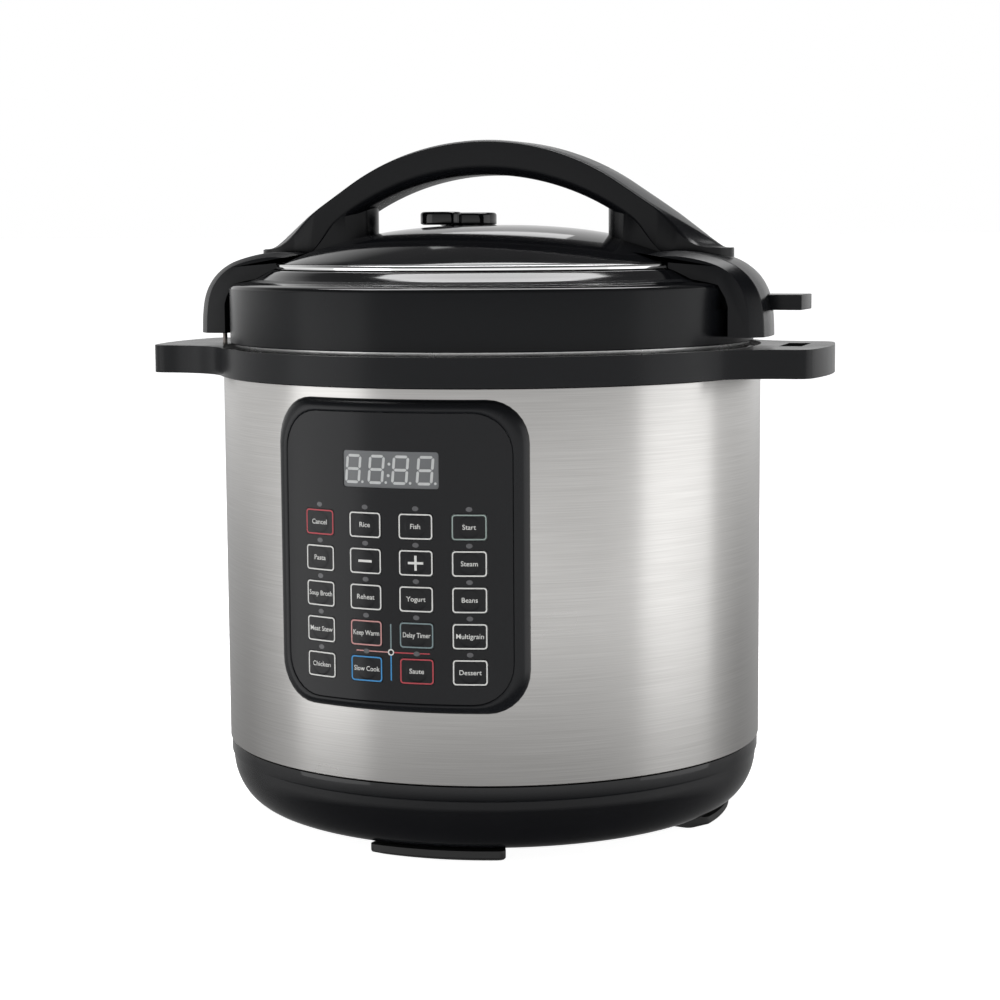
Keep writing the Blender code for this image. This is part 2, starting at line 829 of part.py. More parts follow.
def make_handle(black, gloss):
    top = arch_side()
    under_z = ARCH_UNDER_TOP - ARCH_UNDER_R
    half = HANDLE_FOOT_INNER + 14
    end = math.degrees(math.acos(half / ARCH_UNDER_R))
    under = arc((0, under_z), ARCH_UNDER_R, end, 180 - end, 12)
    bottom = 270.0
    outline = top + [(HANDLE_TIP, bottom), (half, bottom)] + under + [(-half, bottom), (-HANDLE_TIP, bottom)]
    handle = slab("lid_handle", outline, -HANDLE_HALF, HANDLE_HALF, black, upright=True)
    plan = slab(
        "handle_plan_cutter", stadium(-HANDLE_TIP, HANDLE_TIP, HANDLE_HALF), 250, 350, cutter=True
    )
    boolean(handle, plan, "INTERSECT")
    foot_plan = stadium(HANDLE_FOOT_INNER, 110.0, HANDLE_HALF)
    foot_side = [(x, arch_height(x) - 2) for x in (110, 100, 90, 80, 70, HANDLE_FOOT_INNER - 1)]
    foot_side += [(HANDLE_FOOT_INNER - 1, bottom), (110, bottom)]
    for name, side in (("right", list), ("left", mirrored)):
        foot = slab(name + "_foot_join", side(foot_plan), bottom, 330.0, cutter=True)
        trim = slab(name + "_foot_trim_cutter", side(foot_side), -16, 16, cutter=True, upright=True)
        boolean(foot, trim, "INTERSECT")
        join(handle, foot)
    dome = [(0, dome_height(0, GAP))]
    dome += dome_points(GAP, DOME_EDGE_R, 6)[1:]
    dome += [(DOME_EDGE_R + GAP, 262.0), (0, 262.0)]
    cut(handle, turned("dome_clearance_cutter", dome, cutter=True))
    for name, side in (("right", list), ("left", mirrored)):
        raised = [(x, z + GAP + 0.05) for x, z in arm_outline()[1:8]]
        outline = [(86.0, 262.0), (86.0, 279.9)] + raised + [(141.7, 262.0)]
        seat = slab(name + "_seat_cutter", side(outline), -40, 40, cutter=True, upright=True)
        cut(handle, seat)
    recess_centre = ARCH_TOP - ARCH_R
    strip_bend = 63.0
    band = arc((0, recess_centre), ARCH_R + 4, strip_bend, 180 - strip_bend, 12)
    band += arc((0, recess_centre), ARCH_R - 2.0, 180 - strip_bend, strip_bend, 12)
    cut(handle, slab("strip_recess_cutter", band, -10.3, 10.3, cutter=True, upright=True))
    strip_bend += 0.2
    band = arc((0, recess_centre), ARCH_R - 0.1, strip_bend, 180 - strip_bend, 12)
    band += arc((0, recess_centre), ARCH_R - 1.7, 180 - strip_bend, strip_bend, 12)
    slab("handle_strip", band, -10, 10, gloss, upright=True)


def make_fin(black):
    """The tab on the right arm that parks the open lid in the slot of the base ring's handle."""
    box("lid_fin", (136.6, -11.6, 253.7), (160.0, 11.6, 261.0), black)


def make_valves(black, steel, silicone):
    x, y = VALVE_XY
    knob = post("steam_valve_knob", VALVE_XY, 15.0, 294.6, 301.4, black, sides=28)
    nose = post("knob_nose_join", (x - 8, y - 17), 10.5, 295.4, 301.8, cutter=True, sides=24)
    join(knob, nose)
    pipe = post("steam_pipe", VALVE_XY, 5.0, 246.5, 294.2, steel)
    cut(pipe, post("pipe_bore_cutter", VALVE_XY, 2.2, 240, 300, cutter=True, sides=16))
    shield = turned(
        "anti_block_shield",
        [(14.0, 251.9), (14.0, 240.5), (0, 239.5), (0, 241.0), (12.8, 242.0), (12.8, 251.9)],
        steel,
        steps=24,
    )
    shield.location = (x * MM, y * MM, 0)
    holes = []
    for index in range(3):
        hole = box(f"shield_hole_cutter_{index}", (-20, -2, 244.5), (20, 2, 249.0), cutter=True)
        hole.location = (x * MM, y * MM, 0)
        hole.rotation_euler.z = math.radians(60 * index + 10)
        holes.append(hole)
    cut(shield, *holes)
    post("float_pin", FLOAT_XY, 2.6, 249.9, 289.0, steel, sides=16)
    post("float_seal", FLOAT_XY, 6.5, 246.4, 249.6, silicone, sides=16)


def make_sense_pin(steel):
    post("lid_sense_pin", SENSE_PIN_XY, 1.15, 229.8, 241.2, steel, sides=12)


def parent_all(empty_name, names):
    empty = bpy.data.objects.new(empty_name, None)
    PARTS.objects.link(empty)
    for name in names:
        bpy.data.objects[name].parent = empty


def main():
    global PARTS, CUTTERS
    clear_scene()
    PARTS = make_collection("electric_pressure_cooker")
    CUTTERS = make_collection("cutters")
    steel = material("brushed_steel", (0.62, 0.61, 0.59), 0.32, 1.0)
    chrome = material("chrome_trim", (0.85, 0.85, 0.85), 0.08, 1.0)
    aluminium = material("aluminium", (0.7, 0.7, 0.71), 0.4, 1.0)
    satin = material("satin_black_plastic", (0.018, 0.019, 0.021), 0.38)
    gloss = material("gloss_black_plastic", (0.01, 0.01, 0.011), 0.08)
    film = material("panel_film", (0.006, 0.006, 0.008), 0.15)
    grey = material("display_grey", (0.16, 0.17, 0.18), 0.2)
    rubber = material("black_rubber", (0.02, 0.02, 0.02), 0.7)
    silicone = material("clear_silicone", (0.75, 0.75, 0.73), 0.4)
    cup_plastic = material("smoke_plastic", (0.08, 0.08, 0.09), 0.2)
    board = material("circuit_board", (0.03, 0.16, 0.07), 0.5)
    make_shell(steel)
    make_housing(gloss)
    make_feet(rubber)
    make_top_ring(satin)
    make_liner(aluminium)
    make_heater(aluminium, steel, satin)
    make_sensor(steel)
    make_boards(board)
    make_inlet(satin)
    make_panel(satin, film, grey)
    make_keys(film)
    make_cup(cup_plastic)
    make_sense_pin(steel)
    make_pot(steel)
    make_seal(silicone, steel)
    make_inner_lid(steel)
    make_lid_ring(satin)
    make_trim(chrome)
    make_cover(gloss)
    make_handle(satin, gloss)
    make_fin(satin)
    make_valves(satin, steel, silicone)
    lid_names = ("inner_lid", "lid_ring", "lid_trim", "lid_cover", "lid_handle", "handle_strip")
    lid_names += ("lid_fin", "steam_pipe", "anti_block_shield", "sealing_ring_rack")
    lid_names += ("steam_valve_knob", "float_pin", "float_seal")
    parent_all("lid", lid_names)
    parent_all("key_panel", ["key_" + name for row in KEY_NAMES for name in row])
    for obj in PARTS.objects:
        if obj.type == "MESH":
            obj.data.shade_smooth()
            obj.data.set_sharp_from_angle(angle=math.radians(35))


main()
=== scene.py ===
"""Electric pressure cooker: the visual model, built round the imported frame.

Lengths are in millimetres in this file and are turned into metres where a mesh is made.
The z axis is the axis of the pot, z = 0 is the worktop and the key panel faces -Y.
"""

import math

import bmesh
import bpy
from mathutils import Matrix, Vector


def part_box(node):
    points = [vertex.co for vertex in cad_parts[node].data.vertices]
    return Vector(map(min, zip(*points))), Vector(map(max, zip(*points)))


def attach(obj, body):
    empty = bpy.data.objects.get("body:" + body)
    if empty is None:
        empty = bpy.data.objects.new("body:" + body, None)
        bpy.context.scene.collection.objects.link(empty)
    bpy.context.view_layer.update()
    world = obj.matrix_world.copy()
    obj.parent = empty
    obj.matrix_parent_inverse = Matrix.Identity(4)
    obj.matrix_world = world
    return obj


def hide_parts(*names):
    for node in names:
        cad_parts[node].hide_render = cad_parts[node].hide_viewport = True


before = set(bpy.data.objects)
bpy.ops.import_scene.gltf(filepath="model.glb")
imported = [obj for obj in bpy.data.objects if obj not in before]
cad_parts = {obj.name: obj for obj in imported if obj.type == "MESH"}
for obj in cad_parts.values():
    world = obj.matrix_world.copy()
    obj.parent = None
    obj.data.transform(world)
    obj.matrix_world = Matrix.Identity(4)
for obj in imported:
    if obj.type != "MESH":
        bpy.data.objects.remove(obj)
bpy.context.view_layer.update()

MM = 0.001
ROUND = 160
# Turns an outline in XY into one in XZ.
UPRIGHT = Matrix(((1, 0, 0, 0), (0, 0, 1, 0), (0, 1, 0, 0), (0, 0, 0, 1)))

# The camera, in metres and degrees: it stands to the right of the panel and a little above the lid.
CAMERA_DISTANCE = 1.1661
CAMERA_HEIGHT = 0.2914
CAMERA_AZIMUTH = 19.8
CAMERA_TURN = -0.17
CAMERA_PITCH = 6.59
CAMERA_ROLL = -0.373
LENS = 83.5

# Brightness of the room at heights from straight down (0) through the horizon (0.5) to straight up (1).
ROOM_BEHIND = (
    (0.0, 0.06), (0.36, 0.25), (0.46, 0.5), (0.5, 1.0), (0.54, 0.8), (0.66, 0.6), (0.72, 0.4), (0.77, 0.1),
    (1.0, 0.1),
)
ROOM_IN_FRONT = (
    (0.0, 0.05), (0.25, 0.12), (0.34, 0.85), (0.42, 1.15), (0.52, 0.95), (0.6, 0.6), (0.8, 0.12), (1.0, 0.1),
)


def low(node):
    """Lowest corner of a CAD node in millimetres."""
    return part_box(node)[0] / MM


def high(node):
    """Highest corner of a CAD node in millimetres."""
    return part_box(node)[1] / MM


def span(node):
    """Lowest and highest z of a CAD node."""
    return low(node).z, high(node).z


# Sizes read from the frame.
BODY_R = high("outer_shell").x
BASE_R = high("base_housing").x
LID_R = high("lid_ring").x
INNER_LID_R = high("inner_lid").x
SHELL_LOW, SHELL_TOP = span("outer_shell")
BASE_LOW, BASE_TOP = span("base_housing")
RING_LOW, RING_TOP = span("top_ring")
LINER_LOW, LINER_TOP = span("outer_pot")
PLATE_LOW, PLATE_TOP = span("heating_plate")
POT_LOW, POT_TOP = span("inner_pot")
INNER_LID_LOW, INNER_LID_TOP = span("inner_lid")
ARM_LOW, DOME_TOP = span("lid_cover")
CUP_LOW, CUP_TOP = span("condensation_cup")
FOOT_TOP = high("foot_front").z
LID_LOW = low("lid_ring").z
HANDLE_TIP, HANDLE_HALF, ARCH_TOP = high("lid_handle")

# Shape of the body.
SHEET = 0.8
RING_R = 136.0
BASE_TURN = 4.0
FOOT_TURN = 6.0
HANDLE_REACH = high("top_ring").x
HANDLE_WIDTH = 44.0
LUGS = 6
LUG_HALF_ANGLE = 13.5
VALVE_XY = (-23.0, 28.0)
FLOAT_XY = (24.0, 30.0)
SENSE_PIN_XY = (-138.5, -20.0)

# Shape of the key panel, as arc length round the body and height.
FILM_R = 138.0
FILM_HALF = 55.9
FILM_LOW = 79.9
FILM_HIGH = 210.9
BEZEL_HALF = 64.8
BEZEL_LOW = 74.7
BEZEL_HIGH = 217.2
KEY_W = 16.4
KEY_H = 12.2
KEY_TOP_ROW = 160.3
KEY_ROW_STEP = 16.5
KEY_AZIMUTHS = (-15.3, -5.1, 5.1, 15.3)
KEY_FACE_R = 138.15
DISPLAY_W = 46.6
DISPLAY_H = 16.8
DISPLAY_Z = 185.6
DISPLAY_R = 137.6

# Each key's name, its legend and the colour of its printed outline.
KEYS = (
    (("cancel", "Cancel", "red"), ("rice", "Rice", "white"), ("fish", "Fish", "white"),
     ("start", "Start", "sage")),
    (("pasta", "Pasta", "white"), ("minus", "-", "white"), ("plus", "+", "white"),
     ("steam", "Steam", "white")),
    (("soup", "Soup Broth", "white"), ("reheat", "Reheat", "white"), ("yogurt", "Yogurt", "white"),
     ("beans", "Beans", "white")),
    (("stew", "Meat Stew", "white"), ("keep_warm", "Keep Warm", "pink"), ("timer", "Delay Timer", "teal"),
     ("multigrain", "Multigrain", "white")),
    (("chicken", "Chicken", "white"), ("slow_cook", "Slow Cook", "blue"), ("saute", "Saute", "red"),
     ("dessert", "Dessert", "white")),
)

# Shape of the lid.
DOME_RISE = 18.5
DOME_EDGE_R = 104.3
SHOULDER = (
    (107.0, 273.6), (109.5, 273.1), (112.0, 271.8), (115.0, 270.1), (118.5, 268.4), (122.0, 267.6),
    (126.0, 267.0),
    (130.5, 266.0),
)
ARM_CONTOUR = (
    (88.0, 280.2), (99.0, 282.0), (110.0, 281.6), (121.0, 279.4), (130.0, 276.2),
    (137.0, 271.3), (141.7, 265.3), (144.3, 258.8), (145.5, 251.0), (145.9, 241.5),
)
ARM_PLAN = (
    (-36.5, 146.0), (-33.0, 146.2), (-18.0, 146.4), (-4.0, 145.2), (8.0, 142.6),
    (20.0, 138.6), (30.0, 133.0), (36.5, 124.0),
)
ARCH_R = 129.0
ARCH_UNDER_R = 130.0
ARCH_UNDER_TOP = 319.5
ARCH_SLOPE = math.radians(33.4)
FOOT_INNER = 61.4


# Outlines.


def arc(centre, radius, start, end, steps):
    """Points of an arc about centre, from start to end in degrees."""
    points = []
    for step in range(steps + 1):
        angle = math.radians(start + (end - start) * step / steps)
        points.append((centre[0] + radius * math.cos(angle), centre[1] + radius * math.sin(angle)))
    return points


def rounded(points, radius, steps=4, closed=True):
    """The outline with its corners rounded. A point may carry its own radius as a third number."""
    result = []
    count = len(points)
    for index, point in enumerate(points):
        here = Vector(point[:2])
        wanted = point[2] if len(point) > 2 else radius
        if wanted == 0 or (not closed and index in (0, count - 1)):
            result.append(tuple(here))
            continue
        before = Vector(points[index - 1][:2]) - here
        after = Vector(points[(index + 1) % count][:2]) - here
        half = before.angle(after) / 2
        if half > math.radians(88):
            result.append(tuple(here))
            continue
        reach = min(wanted / math.tan(half), 0.48 * before.length, 0.48 * after.length)
        fitted = reach * math.tan(half)
        inward = (before.normalized() + after.normalized()).normalized()
        centre = here + inward * fitted / math.sin(half)
        start = here + before.normalized() * reach - centre
        end = here + after.normalized() * reach - centre
        first = math.atan2(start.y, start.x)
        sweep = (math.atan2(end.y, end.x) - first + math.pi) % (2 * math.pi) - math.pi
        for step in range(steps + 1):
            angle = first + sweep * step / steps
            result.append((centre.x + fitted * math.cos(angle), centre.y + fitted * math.sin(angle)))
    return result


def smooth(points, steps=4):
    """A smooth open curve through the points."""
    points = [Vector(point) for point in points]
    ends = [2 * points[0] - points[1]] + points + [2 * points[-1] - points[-2]]
    result = []
    for a, b, c, d in zip(ends, ends[1:], ends[2:], ends[3:]):
        for step in range(steps):
            t = step / steps
            result.append(
                0.5 * (2 * b + (c - a) * t + (2 * a - 5 * b + 4 * c - d) * t**2
                       + (3 * b - a - 3 * c + d) * t**3)
            )
    return [tuple(point) for point in result] + [tuple(points[-1])]


def between(value, table):
    """Straight-line reading of a table of (input, output) pairs."""
    for (a, out_a), (b, out_b) in zip(table, table[1:]):
        if value <= b:
            return out_a + (out_b - out_a) * (value - a) / (b - a)
    return table[-1][1]


def ease(value, start, end):
    """A smooth step from 0 at start to 1 at end."""
    t = min(1.0, max(0.0, (value - start) / (end - start)))
    return t * t * (3 - 2 * t)


def lugged_circle(radius, lug_radius, steps=10):
    """A circle whose radius changes to lug_radius over each bayonet lug."""
    points = []
    pitch = 360 / LUGS
    for lug in range(LUGS):
        middle = lug * pitch
        points += arc((0, 0), lug_radius, middle - LUG_HALF_ANGLE, middle + LUG_HALF_ANGLE, steps)
        points += arc((0, 0), radius, middle + LUG_HALF_ANGLE, middle + pitch - LUG_HALF_ANGLE, steps)
    return points


def rectangle(left, bottom, right, top, corner=0.0):
    """A rectangle's outline, with round corners where corner isn't 0."""
    outline = [(left, bottom), (right, bottom), (right, top), (left, top)]
    return rounded(outline, corner) if corner else outline


def sector(inner, outer, middle, half_angle, steps=16):
    """A piece of a ring, with its middle and half angle in degrees from +X."""
    points = arc((0, 0), outer, middle - half_angle, middle + half_angle, steps)
    return points + arc((0, 0), inner, middle + half_angle, middle - half_angle, steps)


def soft_sector(inner, outer, half_angle, corner):
    """A sector about +X with round corners, always with the same number of points."""
    points = []
    for radius, turn in ((outer, 1), (inner, -1)):
        reach = radius - turn * corner
        spread = math.degrees(corner / reach)
        for side in (-turn, turn):
            angle = side * (half_angle - spread)
            centre = (reach * math.cos(math.radians(angle)), reach * math.sin(math.radians(angle)))
            start = angle + (0 if turn > 0 else 180)
            bend = 90 * side * turn
            first, last = (start + bend, start) if side == -turn else (start, start + bend)
            points += arc(centre, corner, first, last, 6)
            if side == -turn:
                swept = half_angle - spread
                points += arc((0, 0), radius, -turn * swept, turn * swept, 16)[1:-1]
    return points


def soft_rectangle(half_width, bottom, top, radius, across=16, up=6, corner=8):
    """A rounded rectangle whose straight sides are divided, so that it can be bent."""
    right = half_width - radius
    centres = [(right, bottom + radius), (right, top - radius), (-right, top - radius),
               (-right, bottom + radius)]
    corners = [arc(centre, radius, 90 * side - 90, 90 * side, corner) for side, centre in enumerate(centres)]
    points = []
    for side, bend in enumerate(corners):
        start = Vector(corners[side - 1][-1])
        end = Vector(bend[0])
        parts = up if side % 2 else across
        points += [tuple(start.lerp(end, step / parts)) for step in range(parts)]
        points += bend[:-1]
    return points


def bent(u, v, radius):
    """Arc length, height and radius on the front of the body as a point."""
    angle = u / FILM_R
    return (radius * math.sin(angle), -radius * math.cos(angle), v)


def dome_height(radius):
    """Height of the dome's top at a radius."""
    return DOME_TOP - DOME_RISE * (radius / DOME_EDGE_R) ** 2.5


# Meshes.


def finished(work, name):
    """Turns a bmesh in millimetres into a mesh in metres with its faces pointing out."""
    bmesh.ops.remove_doubles(work, verts=work.verts, dist=0.0005)
    bmesh.ops.recalc_face_normals(work, faces=work.faces)
    bmesh.ops.scale(work, verts=work.verts, vec=(MM, MM, MM))
    mesh = bpy.data.meshes.new(name)
    work.to_mesh(mesh)
    work.free()
    return mesh


def loft(name, sections, closed=False):
    """A skin over sections with equal numbers of points, capped unless it closes on itself."""
    work = bmesh.new()
    rings = [[work.verts.new(point) for point in section] for section in sections]
    pairs = list(zip(rings, rings[1:]))
    if closed:
        pairs.append((rings[-1], rings[0]))
    count = len(rings[0])
    for first, second in pairs:
        for index in range(count):
            after = (index + 1) % count
            work.faces.new((first[index], first[after], second[after], second[index]))
    if not closed:
        work.faces.new(rings[0])
        work.faces.new(list(reversed(rings[-1])))
    return finished(work, name)


def turned(name, profile, steps=ROUND, centre=(0, 0)):
    """A profile in (radius, height) turned about a vertical axis. It closes on itself or ends on the axis."""
    work = bmesh.new()
    rings = []
    for radius, z in profile:
        if radius < 1e-6:
            rings.append([work.verts.new((*centre, z))] * steps)
            continue
        ring = []
        for step in range(steps):
            angle = 2 * math.pi * step / steps
            ring.append(
                work.verts.new((centre[0] + radius * math.cos(angle), centre[1] + radius * math.sin(angle),
                                z))
            )
        rings.append(ring)
    pairs = list(zip(rings, rings[1:]))
    if profile[0][0] > 0 or profile[-1][0] > 0:
        pairs.append((rings[-1], rings[0]))
    for first, second in pairs:
        for index in range(steps):
            after = (index + 1) % steps
            corners = []
            for corner in (first[index], first[after], second[after], second[index]):
                if corner not in corners:
                    corners.append(corner)
            if len(corners) > 2:
                work.faces.new(corners)
    return finished(work, name)


def rod(radius, bottom, top, steps, centre=(0, 0)):
    """A plain upright cylinder, used as a cutter."""
    return turned("rod", [(0, top), (0, bottom), (radius, bottom), (radius, top)], steps, centre)


def prism(name, outline, bottom, top, holes=(), upright=False):
    """An outline with holes in XY between two heights, or upright in XZ between two depths."""
    curve = bpy.data.curves.new(name, "CURVE")
    curve.dimensions = "2D"
    curve.fill_mode = "BOTH"
    curve.extrude = (top - bottom) / 2
    for loop in (outline, *holes):
        spline = curve.splines.new("POLY")
        spline.points.add(len(loop) - 1)
        spline.use_cyclic_u = True
        for point, (a, b) in zip(spline.points, loop):
            point.co = (a, b, 0, 1)
    mesh = mesh_from(curve)
    work = bmesh.new()
    work.from_mesh(mesh)
    bmesh.ops.remove_doubles(work, verts=work.verts, dist=0.0005)
    bmesh.ops.translate(work, verts=work.verts, vec=(0, 0, (bottom + top) / 2))
    if upright:
        bmesh.ops.transform(work, matrix=UPRIGHT, verts=work.verts)
    bmesh.ops.dissolve_limit(work, angle_limit=0.001, verts=work.verts, edges=work.edges)
    return finished(work, name)


def placed(name, data):
    """A new object in the scene."""
    obj = bpy.data.objects.new(name, data)
    bpy.context.scene.collection.objects.link(obj)
    return obj


def mesh_from(curve):
    """The mesh of a curve or text, at its own place."""
    guide = placed(curve.name, curve)
    bpy.context.view_layer.update()
    mesh = bpy.data.meshes.new_from_object(guide.evaluated_get(bpy.context.evaluated_depsgraph_get()))
    bpy.data.objects.remove(guide, do_unlink=True)
    return mesh


def sliced(mesh, facet):
    """The mesh, in millimetres, as a bmesh that is divided across X every facet, so that it can be bent."""
    work = bmesh.new()
    work.from_mesh(mesh)
    cuts = int(max(abs(vertex.co.x) for vertex in work.verts) / facet)
    for index in range(-cuts, cuts + 1):
        geometry = work.verts[:] + work.edges[:] + work.faces[:]
        where = (index * facet, 0, 0)
        bmesh.ops.bisect_plane(work, geom=geometry, dist=0.0001, plane_co=where, plane_no=(1, 0, 0))
    return work


def flat(outline, bottom, top, holes=()):
    """A thin plate in millimetres, to be bent round the body."""
    mesh = prism("flat", outline, bottom, top, holes)
    mesh.transform(Matrix.Scale(1 / MM, 4))
    return mesh


def wrapped(name, outline, inner, outer, holes=(), facet=3.0):
    """A plate in (arc length, height) wrapped round the front of the body, between two radii."""
    work = sliced(flat(outline, inner, outer, holes), facet)
    for vertex in work.verts:
        vertex.co = bent(vertex.co.x, vertex.co.y, vertex.co.z)
    return finished(work, name)


def combined(mesh, other, operation):
    """A Boolean of two meshes, as a mesh."""
    first = placed("first", mesh)
    second = placed("second", other)
    modifier = first.modifiers.new("boolean", "BOOLEAN")
    modifier.operation = operation
    modifier.object = second
    modifier.solver = "EXACT"
    bpy.context.view_layer.update()
    made = bpy.data.meshes.new_from_object(first.evaluated_get(bpy.context.evaluated_depsgraph_get()))
    bpy.data.objects.remove(first, do_unlink=True)
    bpy.data.objects.remove(second, do_unlink=True)
    made.materials.clear()
    return made


def cut(mesh, *cutters):
    """The mesh with each cutter taken out of it."""
    for cutter in cutters:
        mesh = combined(mesh, cutter, "DIFFERENCE")
    return mesh


def turned_by(mesh, degrees):
    """The same mesh, turned about the z axis."""
    mesh.transform(Matrix.Rotation(math.radians(degrees), 4, "Z"))
    return mesh


def mirrored(mesh):
    """A copy of a mesh on the other side of the YZ plane."""
    copy = mesh.copy()
    copy.transform(Matrix.Diagonal((-1, 1, 1, 1)))
    copy.flip_normals()
    return copy


def block(low_corner, high_corner):
    """A plain box, used as a cutter."""
    return prism("block", rectangle(*low_corner[:2], *high_corner[:2]), low_corner[2], high_corner[2])


def piece(name, mesh, material, body, replaces=(), bevel=0.0, segments=2, sharp=35):
    """Makes a mesh an object of the model: material, edges, and the body it rides on."""
    obj = placed(name, mesh)
    if not mesh.materials:
        mesh.materials.append(material)
    mesh.shade_smooth()
    mesh.set_sharp_from_angle(angle=math.radians(sharp))
    if bevel:
        modifier = obj.modifiers.new("edges", "BEVEL")
        modifier.width = bevel * MM
        modifier.segments = segments
        modifier.limit_method = "ANGLE"
        modifier.angle_limit = math.radians(sharp)
        modifier.harden_normals = True
    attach(obj, body)
    if replaces:
        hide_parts(*replaces)
    return obj


# Materials.


def added(tree, kind, inputs, **settings):
    """A new shader node: inputs gives each input's value, or the socket that feeds it."""
    node = tree.nodes.new("ShaderNode" + kind)
    for name, value in settings.items():
        setattr(node, name, value)
    for name, value in inputs.items():
        if isinstance(value, bpy.types.NodeSocket):
            tree.links.new(value, node.inputs[name])
        else:
            node.inputs[name].default_value = value
    return node


def ramped(tree, value, stops):
    """The colour that a ramp of (position, colour) stops gives a value."""
    ramp = added(tree, "ValToRGB", {"Fac": value})
    elements = ramp.color_ramp.elements
    while len(elements) < len(stops):
        elements.new(0.5)
    for element, (position, colour) in zip(elements, stops):
        element.position = position
        element.color = (*colour, 1)
    return ramp.outputs["Color"]


def noise(tree, vector, scale, detail):
    """Fine noise over a vector."""
    return added(tree, "TexNoise", {"Vector": vector, "Scale": scale, "Detail": detail}).outputs["Fac"]


def surface(name, colour, roughness, metallic=0.0, spread=0.05, shade=0.06, patch=30.0, grain=None,
            stretch=(1, 1, 1), **sockets):
    """A Principled material with patches of shade and roughness; grain is a bump's scale and depth."""
    made = bpy.data.materials.new(name)
    made.use_nodes = True
    tree = made.node_tree
    shader = tree.nodes["Principled BSDF"]
    shader.inputs["Metallic"].default_value = metallic
    for socket, value in sockets.items():
        shader.inputs[socket.replace("_", " ")].default_value = value
    place = added(tree, "TexCoord", {}).outputs["Object"]
    patches = noise(tree, place, patch, 4)
    rough = {"To Min": max(0.02, roughness - spread), "To Max": roughness + spread}
    level = added(tree, "MapRange", {"Value": patches, "From Min": 0.3, "From Max": 0.7, **rough})
    tree.links.new(level.outputs["Result"], shader.inputs["Roughness"])
    dark = [c * (1 - shade) for c in colour]
    light = [min(1, c * (1 + shade)) for c in colour]
    tree.links.new(ramped(tree, patches, ((0.3, dark), (0.7, light))), shader.inputs["Base Color"])
    if grain:
        scale, depth = grain
        mapped = added(tree, "Mapping", {"Vector": place, "Scale": stretch}).outputs["Vector"]
        fine = noise(tree, mapped, scale, 3)
        bump = added(tree, "Bump", {"Height": fine, "Strength": 1.0, "Distance": depth * MM})
        tree.links.new(bump.outputs["Normal"], shader.inputs["Normal"])
    return made


def brushed_steel():
    """Stainless sheet brushed round the body, so that its highlights run up and down."""
    made = surface(
        "brushed_steel", (0.60, 0.59, 0.575), 0.30, 1.0, spread=0.03, shade=0.02, patch=14.0,
        grain=(1.0, 0.004), stretch=(60, 60, 5200), Anisotropic=0.65, Anisotropic_Rotation=0.25,
    )
    tree = made.node_tree
    shader = tree.nodes["Principled BSDF"]
    tangent = added(tree, "Tangent", {}, direction_type="RADIAL", axis="Z")
    tree.links.new(tangent.outputs["Tangent"], shader.inputs["Tangent"])
    # Fine streaks of shade along the brushing.
    place = added(tree, "TexCoord", {}).outputs["Object"]
    mapped = added(tree, "Mapping", {"Vector": place, "Scale": (22, 22, 2600)}).outputs["Vector"]
    streaks = noise(tree, mapped, 1.0, 5)
    shades = ((0.3, (0.555, 0.545, 0.53)), (0.7, (0.65, 0.64, 0.625)))
    tree.links.new(ramped(tree, streaks, shades), shader.inputs["Base Color"])
    return made


